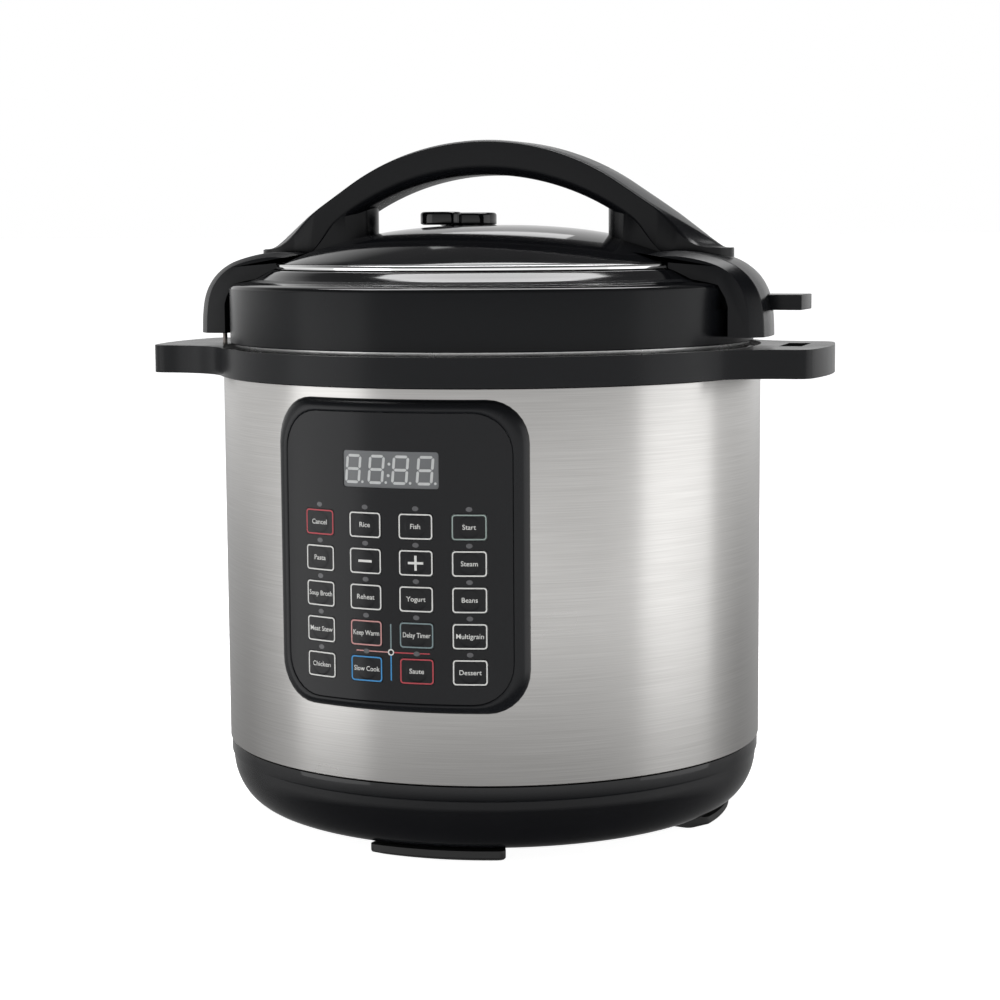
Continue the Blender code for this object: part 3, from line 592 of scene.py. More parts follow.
def make_materials():
    """Every material by its short name."""
    prints = {
        "white": (0.62, 0.62, 0.60),
        "red": (0.42, 0.035, 0.05),
        "pink": (0.50, 0.24, 0.23),
        "blue": (0.02, 0.22, 0.50),
        "teal": (0.16, 0.22, 0.23),
        "sage": (0.25, 0.31, 0.29),
    }
    made = {
        "steel": brushed_steel(),
        "satin": surface(
            "satin_black", (0.005, 0.0054, 0.0066), 0.25, spread=0.03, grain=(2600, 0.004),
            Specular_IOR_Level=0.18,
        ),
        "wall": surface(
            "wall_black", (0.0045, 0.005, 0.006), 0.24, spread=0.03, grain=(2200, 0.003),
            Specular_IOR_Level=0.15,
        ),
        "gloss": surface(
            "gloss_black", (0.004, 0.0042, 0.005), 0.07, spread=0.03, grain=(90, 0.006),
            Specular_IOR_Level=0.4,
        ),
        "film": surface(
            "panel_film", (0.0045, 0.0048, 0.006), 0.2, spread=0.03, patch=18, grain=(1500, 0.001),
            Specular_IOR_Level=0.25,
        ),
        "bezel": surface(
            "bezel_black", (0.006, 0.0065, 0.0078), 0.24, spread=0.03, grain=(2400, 0.003),
            Specular_IOR_Level=0.25,
        ),
        "chrome": surface("chrome", (0.86, 0.86, 0.86), 0.07, 1.0, spread=0.03, shade=0.03,
                          grain=(300, 0.001)),
        "bright": surface(
            "satin_steel", (0.63, 0.63, 0.625), 0.24, 1.0, spread=0.05, shade=0.05,
            grain=(1.0, 0.004), stretch=(90, 90, 3000),
        ),
        "pressed": surface("pressed_steel", (0.62, 0.62, 0.61), 0.3, 1.0, shade=0.08, grain=(1400, 0.004)),
        "aluminium": surface("cast_aluminium", (0.55, 0.55, 0.56), 0.42, 1.0, shade=0.08, grain=(1600, 0.01)),
        "element": surface("heated_steel", (0.30, 0.27, 0.25), 0.42, 1.0, spread=0.1, shade=0.3,
                           grain=(900, 0.01)),
        "rubber": surface("black_rubber", (0.013, 0.013, 0.013), 0.55, shade=0.2, grain=(1200, 0.02)),
        "silicone": surface(
            "silicone", (0.72, 0.72, 0.70), 0.38, shade=0.03, grain=(700, 0.006), Subsurface_Weight=0.2,
            Subsurface_Scale=0.004,
        ),
        "smoke": surface(
            "smoke_plastic", (0.10, 0.105, 0.11), 0.12, spread=0.03, grain=(120, 0.004),
            Transmission_Weight=0.7,
        ),
        "board": surface("circuit_board", (0.02, 0.13, 0.05), 0.4, shade=0.35, patch=160, grain=(900, 0.01)),
        "window": surface("display_window", (0.115, 0.12, 0.125), 0.22, spread=0.03, shade=0.04,
                          grain=(800, 0.001)),
        "segment": surface("display_segment", (0.46, 0.47, 0.47), 0.4, shade=0.06, patch=400),
        "led": surface("led_window", (0.075, 0.075, 0.08), 0.22, shade=0.15, patch=300, grain=(900, 0.002)),
        "floor": surface(
            "floor", (0.80, 0.80, 0.80), 0.6, spread=0.05, shade=0.006, patch=0.7,
            Emission_Color=(1, 1, 1, 1), Emission_Strength=0.95,
        ),
    }
    for name, colour in prints.items():
        made["print_" + name] = surface("print_" + name, colour, 0.45, shade=0.05, patch=500,
                                        grain=(2500, 0.002))
    return made


# The base.


def make_shell(mats):
    """The brushed steel sleeve, with its edges rounded."""
    inner = BODY_R - SHEET
    profile = [(BODY_R, SHELL_TOP), (BODY_R, SHELL_LOW), (inner, SHELL_LOW), (inner, SHELL_TOP)]
    profile = rounded(profile, 0.35, steps=3)
    piece("steel_shell", turned("steel_shell", profile, 224), mats["steel"], "base",
          ["outer_shell"])


def make_bowl(mats):
    """The black base: an upright band, a crease and the round bowl, with air slots in its floor."""
    wall = 2.5
    crease = 33.8
    bowl = []
    for step in range(15):
        angle = math.radians(86 * step / 14)
        bowl.append((112 + 20.6 * math.cos(angle), 33 - 25.9 * math.sin(angle)))
    profile = [(0, BASE_LOW + wall), (0, BASE_LOW)]
    profile += list(reversed(bowl))
    profile += [(132.65, crease - 0.4), (BASE_R - 0.1, crease), (BASE_R, crease + 0.35),
                (BASE_R, BASE_TOP - 0.12)]
    profile += [(BASE_R - 0.12, BASE_TOP), (BASE_R - wall, BASE_TOP)]
    profile += [(BASE_R - wall, 33), (BASE_R - 8, 20), (BASE_R - 20, BASE_LOW + wall)]
    mesh = turned("base_bowl", profile, 192)
    for index in range(10):
        slot = prism("vent", rectangle(49, -2, 75, 2, 1.9), BASE_LOW - 2, BASE_LOW + 6)
        mesh = cut(mesh, turned_by(slot, 36 * index))
    hole_low = low("power_inlet")
    hole_high = high("power_inlet")
    mesh = cut(mesh,
               block((hole_low.x - 0.3, 100, hole_low.z - 0.3), (hole_high.x + 0.3, 150, hole_high.z + 0.3)))
    piece("base_bowl", mesh, mats["gloss"], "base", ["base_housing"], sharp=28)


def make_feet(mats):
    """Four rubber feet, each cut back under its outer edge to a narrower tread."""
    sections = []
    for z, outer, margin in ((0.05, 111.0, 0.9), (0.4, 111.6, 0.3), (3.0, 118.9, 0.1), (3.7, 119.4, 0.1),
                             (FOOT_TOP, 119.4, 0.1)):
        outline = soft_sector(92.1 + margin, outer - margin, 16.2 - margin / 2, 3.0)
        sections.append([(x, y, z) for x, y in outline])
    for name, azimuth in (("front", -90), ("right", 0), ("rear", 90), ("left", 180)):
        mesh = turned_by(loft("foot", sections), azimuth + FOOT_TURN)
        piece("rubber_foot_" + name, mesh, mats["rubber"], "base", ["foot_" + name])


def make_ring(mats):
    """The ring that frames the pot, with its two carrying handles, parking slot and pin hole."""
    fillet = 40.0
    fillet_y = HANDLE_WIDTH + fillet
    fillet_x = math.sqrt((RING_R + fillet) ** 2 - fillet_y**2)
    touch = math.degrees(math.atan2(fillet_y, fillet_x))
    corner = 8.0
    corner_y = HANDLE_WIDTH - corner
    corner_x = math.sqrt((HANDLE_REACH - corner) ** 2 - corner_y**2)
    end = math.degrees(math.atan2(corner_y, corner_x))
    side = arc((fillet_x, -fillet_y), fillet, 180 - touch, 90, 16)
    side += arc((corner_x, -corner_y), corner, -90, -end, 8)
    right = side + arc((0, 0), HANDLE_REACH, -end, end, 16)[1:-1] + [(x, -y) for x, y in reversed(side)]
    left = [(-x, -y) for x, y in right]
    outline = right + arc((0, 0), RING_R, touch, 180 - touch, 60)[1:-1]
    outline += left + arc((0, 0), RING_R, 180 + touch, 360 - touch, 60)[1:-1]
    mesh = turned_by(prism("ring", outline, RING_LOW, RING_TOP, [arc((0, 0), 116, 0, 358, 179)]), BASE_TURN)
    recess = rod(134.3, 233.5, 240, 179)
    under = turned("under", [(0, 218), (0, 226), (118, 226), (118, 231), (133.6, 231), (133.6, 218)][::-1],
                   181)
    slot = prism("slot", rectangle(146.3, -11, 157.3, 23, 0.6), 215, 245)
    pin_hole = rod(1.6, 225.5, 240, 20, SENSE_PIN_XY)
    mesh = cut(mesh, recess, under, turned_by(slot, BASE_TURN), pin_hole)
    piece("handle_ring", mesh, mats["satin"], "base", ["top_ring"], bevel=0.5, segments=3)


def make_liner(mats):
    """The liner that holds the pot, with the bayonet lugs on its flange."""
    outer = 114.0
    inner = 112.5
    profile = [(outer, LINER_TOP - 0.5), (outer, LINER_LOW, 3), (40, LINER_LOW), (40, LINER_LOW + 1.5)]
    profile += [(inner, LINER_LOW + 1.5, 3), (inner, LINER_TOP - 0.5)]
    mesh = turned("liner", rounded(profile, 0.3, 3))
    flange = prism("flange", rounded(lugged_circle(121, 125.5), 1.5, 2), LINER_TOP - 2, LINER_TOP,
                   [arc((0, 0), inner, 0, 357.5, 143)])
    mesh = combined(mesh, flange, "UNION")
    piece("liner_pot", mesh, mats["aluminium"], "base", ["outer_pot"], bevel=0.3)


def make_hot_plate(mats):
    """The cast plate under the pot, with shallow turned rings in its face."""
    profile = [(17, PLATE_LOW), (90, PLATE_LOW), (90, PLATE_TOP - 2), (88, PLATE_TOP)]
    for ring in range(23):
        radius = 86 - 3 * ring
        profile += [(radius + 0.5, PLATE_TOP), (radius, PLATE_TOP - 0.25), (radius - 0.5, PLATE_TOP)]
    profile += [(17, PLATE_TOP)]
    piece("hot_plate", turned("hot_plate", profile, 120), mats["aluminium"], "base",
          ["heating_plate"])
    cap_low, cap_top = span("sensor_cap")
    cap = [(0, cap_top), (14, cap_top, 1.2), (16, cap_top - 1.6, 1.0), (16, cap_low), (14.8, cap_low)]
    cap += [(14.8, cap_top - 2.6, 0.8), (0, cap_top - 2.6)]
    piece("sensor_button", turned("sensor_button", rounded(cap, 0.2, closed=False), 72), mats["pressed"],
          "sensor",
          ["sensor_cap"])


def make_socket(mats):
    """The appliance socket in the rear: a black shroud round three flat pins."""
    corner_low = low("power_inlet")
    corner_high = high("power_inlet")
    middle = (corner_low.z + corner_high.z) / 2
    shroud = rectangle(corner_low.x, corner_low.z, corner_high.x, corner_high.z, 2.0)
    mesh = prism("socket", shroud, corner_low.y, corner_high.y, upright=True)
    mouth = [(-12, -7.5), (12, -7.5), (12, 3.5), (7.5, 8.0), (-7.5, 8.0), (-12, 3.5)]
    mouth = [(x, z + middle) for x, z in rounded(mouth, 1.0)]
    mesh = cut(mesh, prism("mouth", mouth, 114, 140, upright=True))
    piece("socket_shroud", mesh, mats["satin"], "base", ["power_inlet"], bevel=0.4)
    for index, (x, z) in enumerate(((-7, middle - 2), (0, middle + 2), (7, middle - 2))):
        pin = prism("pin", rectangle(x - 1, z - 2, x + 1, z + 2, 0.4), 113, 129, upright=True)
        piece(f"socket_pin_{index}", pin, mats["bright"], "base", bevel=0.3)


def make_cup(mats):
    """The drip cup hung on the back of the body: an open curved box with rounded corners."""
    outer = rounded(sector(134.9, 142.5, 90, 12.4, 24), 1.5)
    inner = rounded(sector(136.1, 141.3, 90, 11.8, 24), 1.0)
    mesh = prism("cup", outer, CUP_LOW, CUP_TOP)
    mesh = cut(mesh, prism("hollow", inner, CUP_LOW + 1.5, CUP_TOP + 5))
    piece("drip_cup", mesh, mats["smoke"], "cup", ["condensation_cup"], bevel=0.4,
          segments=3)


def make_sense_pin(mats):
    """The short pin in the ring that feels the lid's arm."""
    bottom, top = span("lid_sense_pin")
    profile = [(0, top), (1.15, top, 0.5), (1.15, bottom), (0, bottom)]
    mesh = turned("sense_rod", rounded(profile, 0.1, closed=False), 32, SENSE_PIN_XY)
    piece("sense_rod", mesh, mats["element"], "sense_pin", ["lid_sense_pin"])


def keep_inner_nodes(mats):
    """CAD nodes whose shape is right as it is: they keep it, with softened edges and a finer material."""
    kept = {
        "heat_shield": ("pressed", 0),
        "heating_element": ("element", 0),
        "pressure_switch": ("satin", 0.5),
        "thermal_fuse": ("satin", 0.3),
        "sensor_bracket": ("pressed", 0.2),
        "sensor_spring": ("pressed", 0),
        "power_board": ("board", 0.2),
        "control_board": ("board", 0.2),
    }
    for node, (material, bevel) in kept.items():
        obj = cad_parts[node]
        for slot in obj.material_slots:
            slot.material = mats[material]
        if bevel:
            modifier = obj.modifiers.new("edges", "BEVEL")
            modifier.width = bevel * MM
            modifier.segments = 2
            modifier.limit_method = "ANGLE"


# The key panel.


def make_bezel(mats):
    """The raised frame round the panel: rings that rise from the body to a rim and fall to the film."""
    rings = (
        (0.0, 134.25, 20.0),
        (0.1, 134.9, 20.0),
        (0.9, 136.1, 20.0),
        (2.6, 137.6, 19.5),
        (4.4, 138.45, 19.2),
        (6.0, 138.7, 19.0),
        (7.3, 138.68, 18.8),
        (7.9, 138.45, 18.7),
        (8.2, 137.9, 18.6),
        (8.2, 136.0, 18.6),
        (8.2, 134.3, 18.6),
    )
    width = BEZEL_HALF - FILM_HALF
    sections = []
    for inset, radius, corner in rings:
        share = inset / width
        bottom = BEZEL_LOW + (FILM_LOW - BEZEL_LOW) * share
        top = BEZEL_HIGH + (FILM_HIGH - BEZEL_HIGH) * share
        outline = soft_rectangle(BEZEL_HALF - inset, bottom, top, corner, across=30)
        sections.append([bent(u, v, radius) for u, v in outline])
    piece("panel_frame", loft("panel_frame", sections, closed=True), mats["bezel"], "base",
          ["panel_bezel"])


def key_hole(margin, corner=1.7):
    """A key's outline about its own middle, made larger by margin."""
    half_w = KEY_W / 2 + margin
    half_h = KEY_H / 2 + margin
    return rectangle(-half_w, -half_h, half_w, half_h, corner)


def make_film(mats):
    """The black film, with holes for the display and the keys."""
    outline = soft_rectangle(FILM_HALF + 0.55, FILM_LOW - 0.3, FILM_HIGH + 0.3, 18.2, across=1, up=1)
    half_w = DISPLAY_W / 2
    half_h = DISPLAY_H / 2
    holes = [rectangle(-half_w, DISPLAY_Z - half_h, half_w, DISPLAY_Z + half_h, 1.4)]
    for row in range(len(KEYS)):
        z = KEY_TOP_ROW - row * KEY_ROW_STEP
        for azimuth in KEY_AZIMUTHS:
            middle = math.radians(azimuth) * FILM_R
            holes.append([(u + middle, v + z) for u, v in key_hole(0.08)])
    mesh = wrapped("film", outline, 135.2, FILM_R, holes)
    piece("film_sheet", mesh, mats["film"], "base", ["panel_film"])


def key_relief(u, v):
    """How far the embossed round dome of a key stands out at a point of it."""
    dome_r = 5.2
    distance = math.hypot(u, v)
    if distance >= dome_r:
        return 0.0
    rim = 0.1 * ease(distance, dome_r, dome_r - 0.7)
    return rim + 0.1 * (1 - (distance / dome_r) ** 2)


def make_key(name, azimuth, z, mats):
    """One key: a rounded plate with a round dome embossed in it."""
    sides = 48
    edge = []
    for index in range(sides):
        angle = 2 * math.pi * index / sides
        reach = min(
            (KEY_W / 2 - 0.02) / max(1e-6, abs(math.cos(angle))),
            (KEY_H / 2 - 0.02) / max(1e-6, abs(math.sin(angle))),
        )
        u = reach * math.cos(angle)
        v = reach * math.sin(angle)
        corner_u = KEY_W / 2 - 1.7
        corner_v = KEY_H / 2 - 1.7
        if abs(u) > corner_u and abs(v) > corner_v:
            out = Vector((abs(u) - corner_u, abs(v) - corner_v)).normalized() * 1.68
            u = math.copysign(corner_u + out.x, u)
            v = math.copysign(corner_v + out.y, v)
        edge.append((u, v))
    sections = []
    for radius in (0.3, 1.2, 2.2, 3.2, 4.0, 4.5, 4.8, 5.0, 5.2, 5.5):
        ring = []
        for index in range(sides):
            angle = 2 * math.pi * index / sides
            u = radius * math.cos(angle)
            v = radius * math.sin(angle)
            ring.append(bent(u, v, key_surface(u, v)))
        sections.append(ring)
    sections.append([bent(u * 0.995, v * 0.995, KEY_FACE_R) for u, v in edge])
    sections.append([bent(u, v, KEY_FACE_R - 0.08) for u, v in edge])
    sections.append([bent(u, v, KEY_FACE_R - 1.3) for u, v in edge])
    mesh = loft("key", sections)
    mesh.transform(Matrix.Translation((0, 0, z * MM)))
    turned_by(mesh, azimuth)
    piece("key_plate_" + name, mesh, mats["film"], "key_" + name, ["key_" + name])


def printed(name, print_mesh, surface_radius, azimuth, z, material, body):
    """Thin print that follows a surface: the mesh is in millimetres, with z its height above it."""
    work = sliced(print_mesh, 1.1)
    for vertex in work.verts:
        u, v, height = vertex.co
        vertex.co = Vector(bent(u, v, surface_radius(u, v) + height))
    mesh = finished(work, name)
    mesh.transform(Matrix.Translation((0, 0, z * MM)))
    turned_by(mesh, azimuth)
    return piece(name, mesh, material, body)


def key_surface(u, v):
    """Radius of a key's face at a point of it."""
    return KEY_FACE_R + key_relief(u, v)


def film_surface(u, v):
    """Radius of the film, the same everywhere."""
    return FILM_R


def display_surface(u, v):
    """Radius of the display window, the same everywhere."""
    return DISPLAY_R


def make_print(name, legend, colour, azimuth, z, mats):
    """A key's printed outline and its legend."""
    outer = key_hole(-0.35, 1.5)
    inner = key_hole(-0.95, 1.0)
    ring = flat(outer, -0.05, 0.03, [inner])
    printed("key_outline_" + name, ring, key_surface, azimuth, z, mats["print_" + colour], "key_" + name)
    if legend in "-+":
        bar = rectangle(-3.4, -0.55, 3.4, 0.55)
        cross = [(-3.6, -0.55), (-0.55, -0.55), (-0.55, -3.4), (0.55, -3.4), (0.55, -0.55), (3.6, -0.55),
                 (3.6, 0.55), (0.55, 0.55), (0.55, 3.4), (-0.55, 3.4), (-0.55, 0.55), (-3.6, 0.55)]
        words = flat(bar if legend == "-" else cross, -0.1, 0.04)
    else:
        curve = bpy.data.curves.new("legend", "FONT")
        curve.body = legend
        curve.size = 3.2
        curve.align_x = "CENTER"
        curve.align_y = "CENTER"
        curve.extrude = 0.05
        curve.offset = 0.015
        curve.resolution_u = 3
        words = mesh_from(curve)
        room = 6.6
        widest = max(vertex.co.x for vertex in words.vertices)
        if widest > room:
            words.transform(Matrix.Diagonal((room / widest, 1, 1, 1)))
    printed("key_legend_" + name, words, key_surface, azimuth, z, mats["print_white"], "key_" + name)


def make_keys(mats):
    """The twenty keys in their rows, each with its print."""
    for row, names in enumerate(KEYS):
        z = KEY_TOP_ROW - row * KEY_ROW_STEP
        for (name, legend, colour), azimuth in zip(names, KEY_AZIMUTHS):
            make_key(name, azimuth, z, mats)
            make_print(name, legend, colour, azimuth, z, mats)


def make_leds(mats):
    """The small windows over the keys."""
    for row, names in enumerate(KEYS):
        for (name, _, _), azimuth in zip(names, KEY_AZIMUTHS):
            z = KEY_TOP_ROW - row * KEY_ROW_STEP + 8.1
            loop = [(1.5 * math.cos(a), 1.1 * math.sin(a)) for a in [math.pi * k / 12 for k in range(24)]]
            printed("led_" + name, flat(loop, -0.1, 0.05), film_surface, azimuth, z, mats["led"], "base")


def make_guide_lines(mats):
    """The small printed cross of lines, with a ring at its middle, among the lower keys."""
    z = KEY_TOP_ROW - 3.5 * KEY_ROW_STEP
    lines = (
        ("guide_left", (-17.5, -0.25, -1.5, 0.25), "pink"),
        ("guide_right", (1.5, -0.25, 18.5, 0.25), "red"),
        ("guide_up", (-0.3, 1.5, 0.3, 13.0), "teal"),
        ("guide_down", (-0.3, -13.0, 0.3, -1.5), "blue"),
    )
    for name, corners, colour in lines:
        line = flat(rectangle(*corners), -0.1, 0.04)
        printed(name, line, film_surface, 0, z, mats["print_" + colour], "base")
    ring = flat(arc((0, 0), 1.5, 0, 345, 23), -0.1, 0.05, [arc((0, 0), 0.95, 0, 345, 23)])
    printed("guide_ring", ring, film_surface, 0, z, mats["print_white"], "base")


def make_display(mats):
    """A grey window over four seven-segment digits that aren't lit."""
    edge_u = DISPLAY_W / 2 - 0.1
    edge_v = DISPLAY_H / 2 - 0.1
    outline = [(u, v + DISPLAY_Z) for u, v in rectangle(-edge_u, -edge_v, edge_u, edge_v, 1.3)]
    mesh = wrapped("window", outline, DISPLAY_R - 1.1, DISPLAY_R)
    piece("display_window", mesh, mats["window"], "base", ["display_module"])
    slant = 0.09
    half_w = 3.3
    half_h = 6.0
    thick = 0.62
    gap = 0.25
    digit_step = 11.7

    def bar(x0, y0, x1, y1):
        """A segment with pointed ends from one node of the digit to the next."""
        along = Vector((x1 - x0, y1 - y0)).normalized()
        side = Vector((-along.y, along.x)) * thick
        start = Vector((x0, y0)) + along * gap
        end = Vector((x1, y1)) - along * gap
        points = [start, start + along * thick + side, end - along * thick + side, end]
        points += [end - along * thick - side, start + along * thick - side]
        return [(p.x + slant * p.y, p.y) for p in points]

    shapes = []
    for digit in range(4):
        middle = (digit - 1.5) * digit_step - 0.6
        nodes = [(-half_w, -half_h), (half_w, -half_h), (half_w, 0), (half_w, half_h), (-half_w, half_h),
                 (-half_w, 0)]
        for index in range(6):
            shapes.append((middle, bar(*nodes[index], *nodes[(index + 1) % 6])))
        shapes.append((middle, bar(-half_w, 0, half_w, 0)))
        shapes.append((middle, arc((half_w + 1.4, -half_h + 0.2), 0.62, 0, 330, 11)))
    for height in (-2.6, 2.6):
        shapes.append((-0.3, arc((slant * height, height), 0.7, 0, 330, 11)))
    for index, (middle, shape) in enumerate(shapes):
        segment = flat([(u + middle, v) for u, v in shape], -0.1, 0.05)
        printed(f"display_segment_{index:02d}", segment, display_surface, 0, DISPLAY_Z, mats["segment"],
                "base")


# The pot and the lid.


def make_pot(mats):
    """The cooking pot with its turned-out rim."""
    wall = 1.0
    inner = 109.8
    rim_low = LINER_TOP + 0.3
    profile = [(0, POT_LOW + wall), (inner, POT_LOW + wall, 12), (inner, POT_TOP, 1.5), (117.6, POT_TOP, 0.8)]
    profile += [(118, POT_TOP - 1.1, 0.4), (118, rim_low, 0.3), (110.8, rim_low, 0.6), (110.8, POT_LOW, 13)]
    profile += [(0, POT_LOW)]
    mesh = turned("pot", rounded(profile, 0.2, 10, closed=False))
    piece("cooking_pot", mesh, mats["bright"], "pot", ["inner_pot"])


def make_seal(mats):
    """The silicone ring and the wire rack that holds it in the lid."""
    bottom, top = span("sealing_ring")
    profile = [(118.2, top), (118.2, bottom), (111, bottom), (109.4, bottom + 1.3), (116, bottom + 3.4)]
    profile += [(116, top - 2.9), (109.4, top - 1.7), (109.4, top)]
    mesh = turned("seal", rounded(profile, 0.6, 3))
    piece("silicone_seal", mesh, mats["silicone"], "seal", ["sealing_ring"])
    rack_low, rack_top = span("sealing_ring_rack")
    profile = [(107.9, rack_top), (107.9, rack_low), (106.9, rack_low), (106.9, rack_top)]
    mesh = turned("rack", rounded(profile, 0.4, 3))
    piece("seal_rack", mesh, mats["bright"], "lid", ["sealing_ring_rack"])


def make_inner_lid(mats):
    """The steel pan inside the lid, with its bayonet lugs and two holes."""
    top = INNER_LID_TOP
    profile = [(0, top), (INNER_LID_R, top, 2), (INNER_LID_R, INNER_LID_LOW), (127.3, INNER_LID_LOW)]
    profile += [(127.3, top - 1.2, 1), (0, top - 1.2)]
    mesh = turned("inner_lid", rounded(profile, 0.1, 4, closed=False))
    lugs = prism("lugs", arc((0, 0), 128.2, 0, 357.5, 143), INNER_LID_LOW, INNER_LID_LOW + 2.5,
                 [rounded(lugged_circle(127.0, 122.5), 1.5, 2)])
    mesh = combined(mesh, lugs, "UNION")
    mesh = cut(mesh, rod(5.4, 245, 260, 32, VALVE_XY), rod(3.2, 245, 260, 24, FLOAT_XY))
    piece("lid_pan", mesh, mats["bright"], "lid", ["inner_lid"], bevel=0.25)


def make_lid_ring(mats):
    """The plastic ring of the lid: a satin wall and a glossy shoulder."""
    rim_z = SHOULDER[-1][1]
    profile = [(*point, 0) for point in smooth(SHOULDER[:-1])]
    profile = [(107.0, 272.8, 0)] + profile[1:] + [(LID_R, rim_z, 2.4), (LID_R, LID_LOW, 0.6)]
    profile += [(128.8, LID_LOW, 0.3), (128.8, 264.2), (123.6, 266.8), (117.2, 269.0), (107.0, 270.8)]
    mesh = turned("lid_wall", rounded(profile, 0.3, 6), 224)
    # A shallow notch in the wall, by the front edge of the right arm.
    notch = turned_by(block((120, -5.52, 254.8), (140, 5.52, 261.0)), -14.2)
    mesh = cut(mesh, cut(notch, rod(129.4, 240, 270, 224)))
    mesh.materials.append(mats["wall"])
    mesh.materials.append(mats["gloss"])
    for face in mesh.polygons:
        on_shoulder = face.center.z > (rim_z - 1.3) * MM and face.normal.z > 0.15
        face.material_index = 1 if on_shoulder else 0
    piece("lid_wall", mesh, mats["wall"], "lid", ["lid_ring"], sharp=24)
    trim = [(105.0, 276.6), (106.9, 276.1), (107.3, 275.1), (107.3, 273.7), (104.9, 273.7)]
    piece("chrome_line", turned("trim", rounded(trim, 0.5, 3), 224), mats["chrome"], "lid",
          ["lid_trim"])


def make_dome(mats):
    """The glossy dome, with holes for the steam valve and the float."""
    skin = 2.8
    edge = DOME_EDGE_R
    inner_edge = edge - 2.6
    lip = 272.9
    outer = [(edge * k / 24, dome_height(edge * k / 24), 0) for k in range(24)]
    outer += [(edge, dome_height(edge), 0.9), (edge, lip, 0.2), (inner_edge, lip, 0.2)]
    inner = [(inner_edge * k / 8, dome_height(inner_edge * k / 8) - skin, 0) for k in range(8, -1, -1)]
    mesh = turned("dome", rounded(outer + inner, 0.3, closed=False), 224)
    mesh = cut(mesh, rod(9, 280, 300, 48, VALVE_XY), rod(4.5, 280, 300, 32, FLOAT_XY))
    piece("lid_dome", mesh, mats["gloss"], "lid", ["lid_cover"], sharp=30)


def inset(points, distance):
    """The arm's contour moved inwards, by less on its top than on its upright outer side."""
    moved = []
    for index, point in enumerate(points):
        before = Vector(points[max(0, index - 1)])
        after = Vector(points[min(len(points) - 1, index + 1)])
        along = (after - before).normalized()
        moved.append((point[0] + along.y * distance, point[1] - along.x * distance * 0.45))
    return moved


def make_arms(mats):
    """The two arms that grip the lid: a front face, a broad chamfer, a fine parting line and a back that
    draws in to the wall."""
    contour = smooth(ARM_CONTOUR, 4)
    under = [(130.8, z) for z in (ARM_LOW, 246, 251, 256, 260, 266.1)]
    under += [(126.2, 267.3), (118.6, 268.8), (112.2, 272.1), (107.8, 274.0), (107.7, 276.9), (105.0, 276.9)]
    under += [(r, dome_height(r) - 0.6) for r in (103.0, 98.0, 93.0, 88.0)]
    stations = [(-36.5, 5.9), (-36.4, 5.5), (-36.1, 5.2), (-30.5, 0.4), (-30.1, 0.1), (-29.7, 0.0)]
    stations += [(-29.5, 0.0), (-29.4, 0.45), (-29.05, 0.45), (-28.95, 0.0)]
    stations += [(y, 0.0) for y in (-26, -22, -17, -12, -7, -2, 3, 8, 13, 18, 22, 26, 29, 31.5, 33.5, 34.6)]
    web_start = -27.2
    web_width = 4.8
    front = stations[0][0]
    sections = []
    for y, depth in stations:
        reach = between(y, ARM_PLAN)
        scale = (reach - 88) / (ARM_CONTOUR[-1][0] - 88)
        line = inset(contour, depth) if depth else contour
        line = [(88 + (x - 88) * scale, z) for x, z in line]
        line[-1] = (line[-1][0], ARM_LOW)
        inner = []
        for radius, z in under:
            x = math.sqrt(radius**2 - y**2)
            x += max(0.0, (y - web_start) / (front - web_start)) * web_width * ease(z, 264, 258)
            if z < 258:
                x = min(x, line[-1][0] - 0.6)
            inner.append((x, z))
        sections.append([(x, y, z) for x, z in line + inner])
    right = loft("arm", sections)
    fin = (low("lid_fin"), high("lid_fin"))
    pocket = block((136.0, fin[0].y - 0.3, fin[0].z - 0.3), (150.0, fin[1].y + 0.3, fin[1].z + 0.3))
    left = mirrored(right)
    right = cut(right, pocket)
    piece("lid_arm_right", right, mats["satin"], "lid", sharp=32)
    piece("lid_arm_left", left, mats["satin"], "lid", sharp=32)


def arch_height(x):
    """Height of the arch's top line: a round crown that runs out into straight sides."""
    if abs(x) < ARCH_R * math.sin(ARCH_SLOPE):
        return ARCH_TOP - ARCH_R + math.sqrt(ARCH_R**2 - x**2)
    crown = ARCH_TOP - ARCH_R * (1 - math.cos(ARCH_SLOPE))
    return crown - (abs(x) - ARCH_R * math.sin(ARCH_SLOPE)) * math.tan(ARCH_SLOPE)


def under_arch(x):
    """Height of the arch's underside, which comes down onto the dome and then onto the arm."""
    curve = ARCH_UNDER_TOP - ARCH_UNDER_R + math.sqrt(ARCH_UNDER_R**2 - x**2)
    if abs(x) < 86:
        return curve
    return max(curve, between(abs(x), smooth(ARM_CONTOUR, 4)) + 0.2)


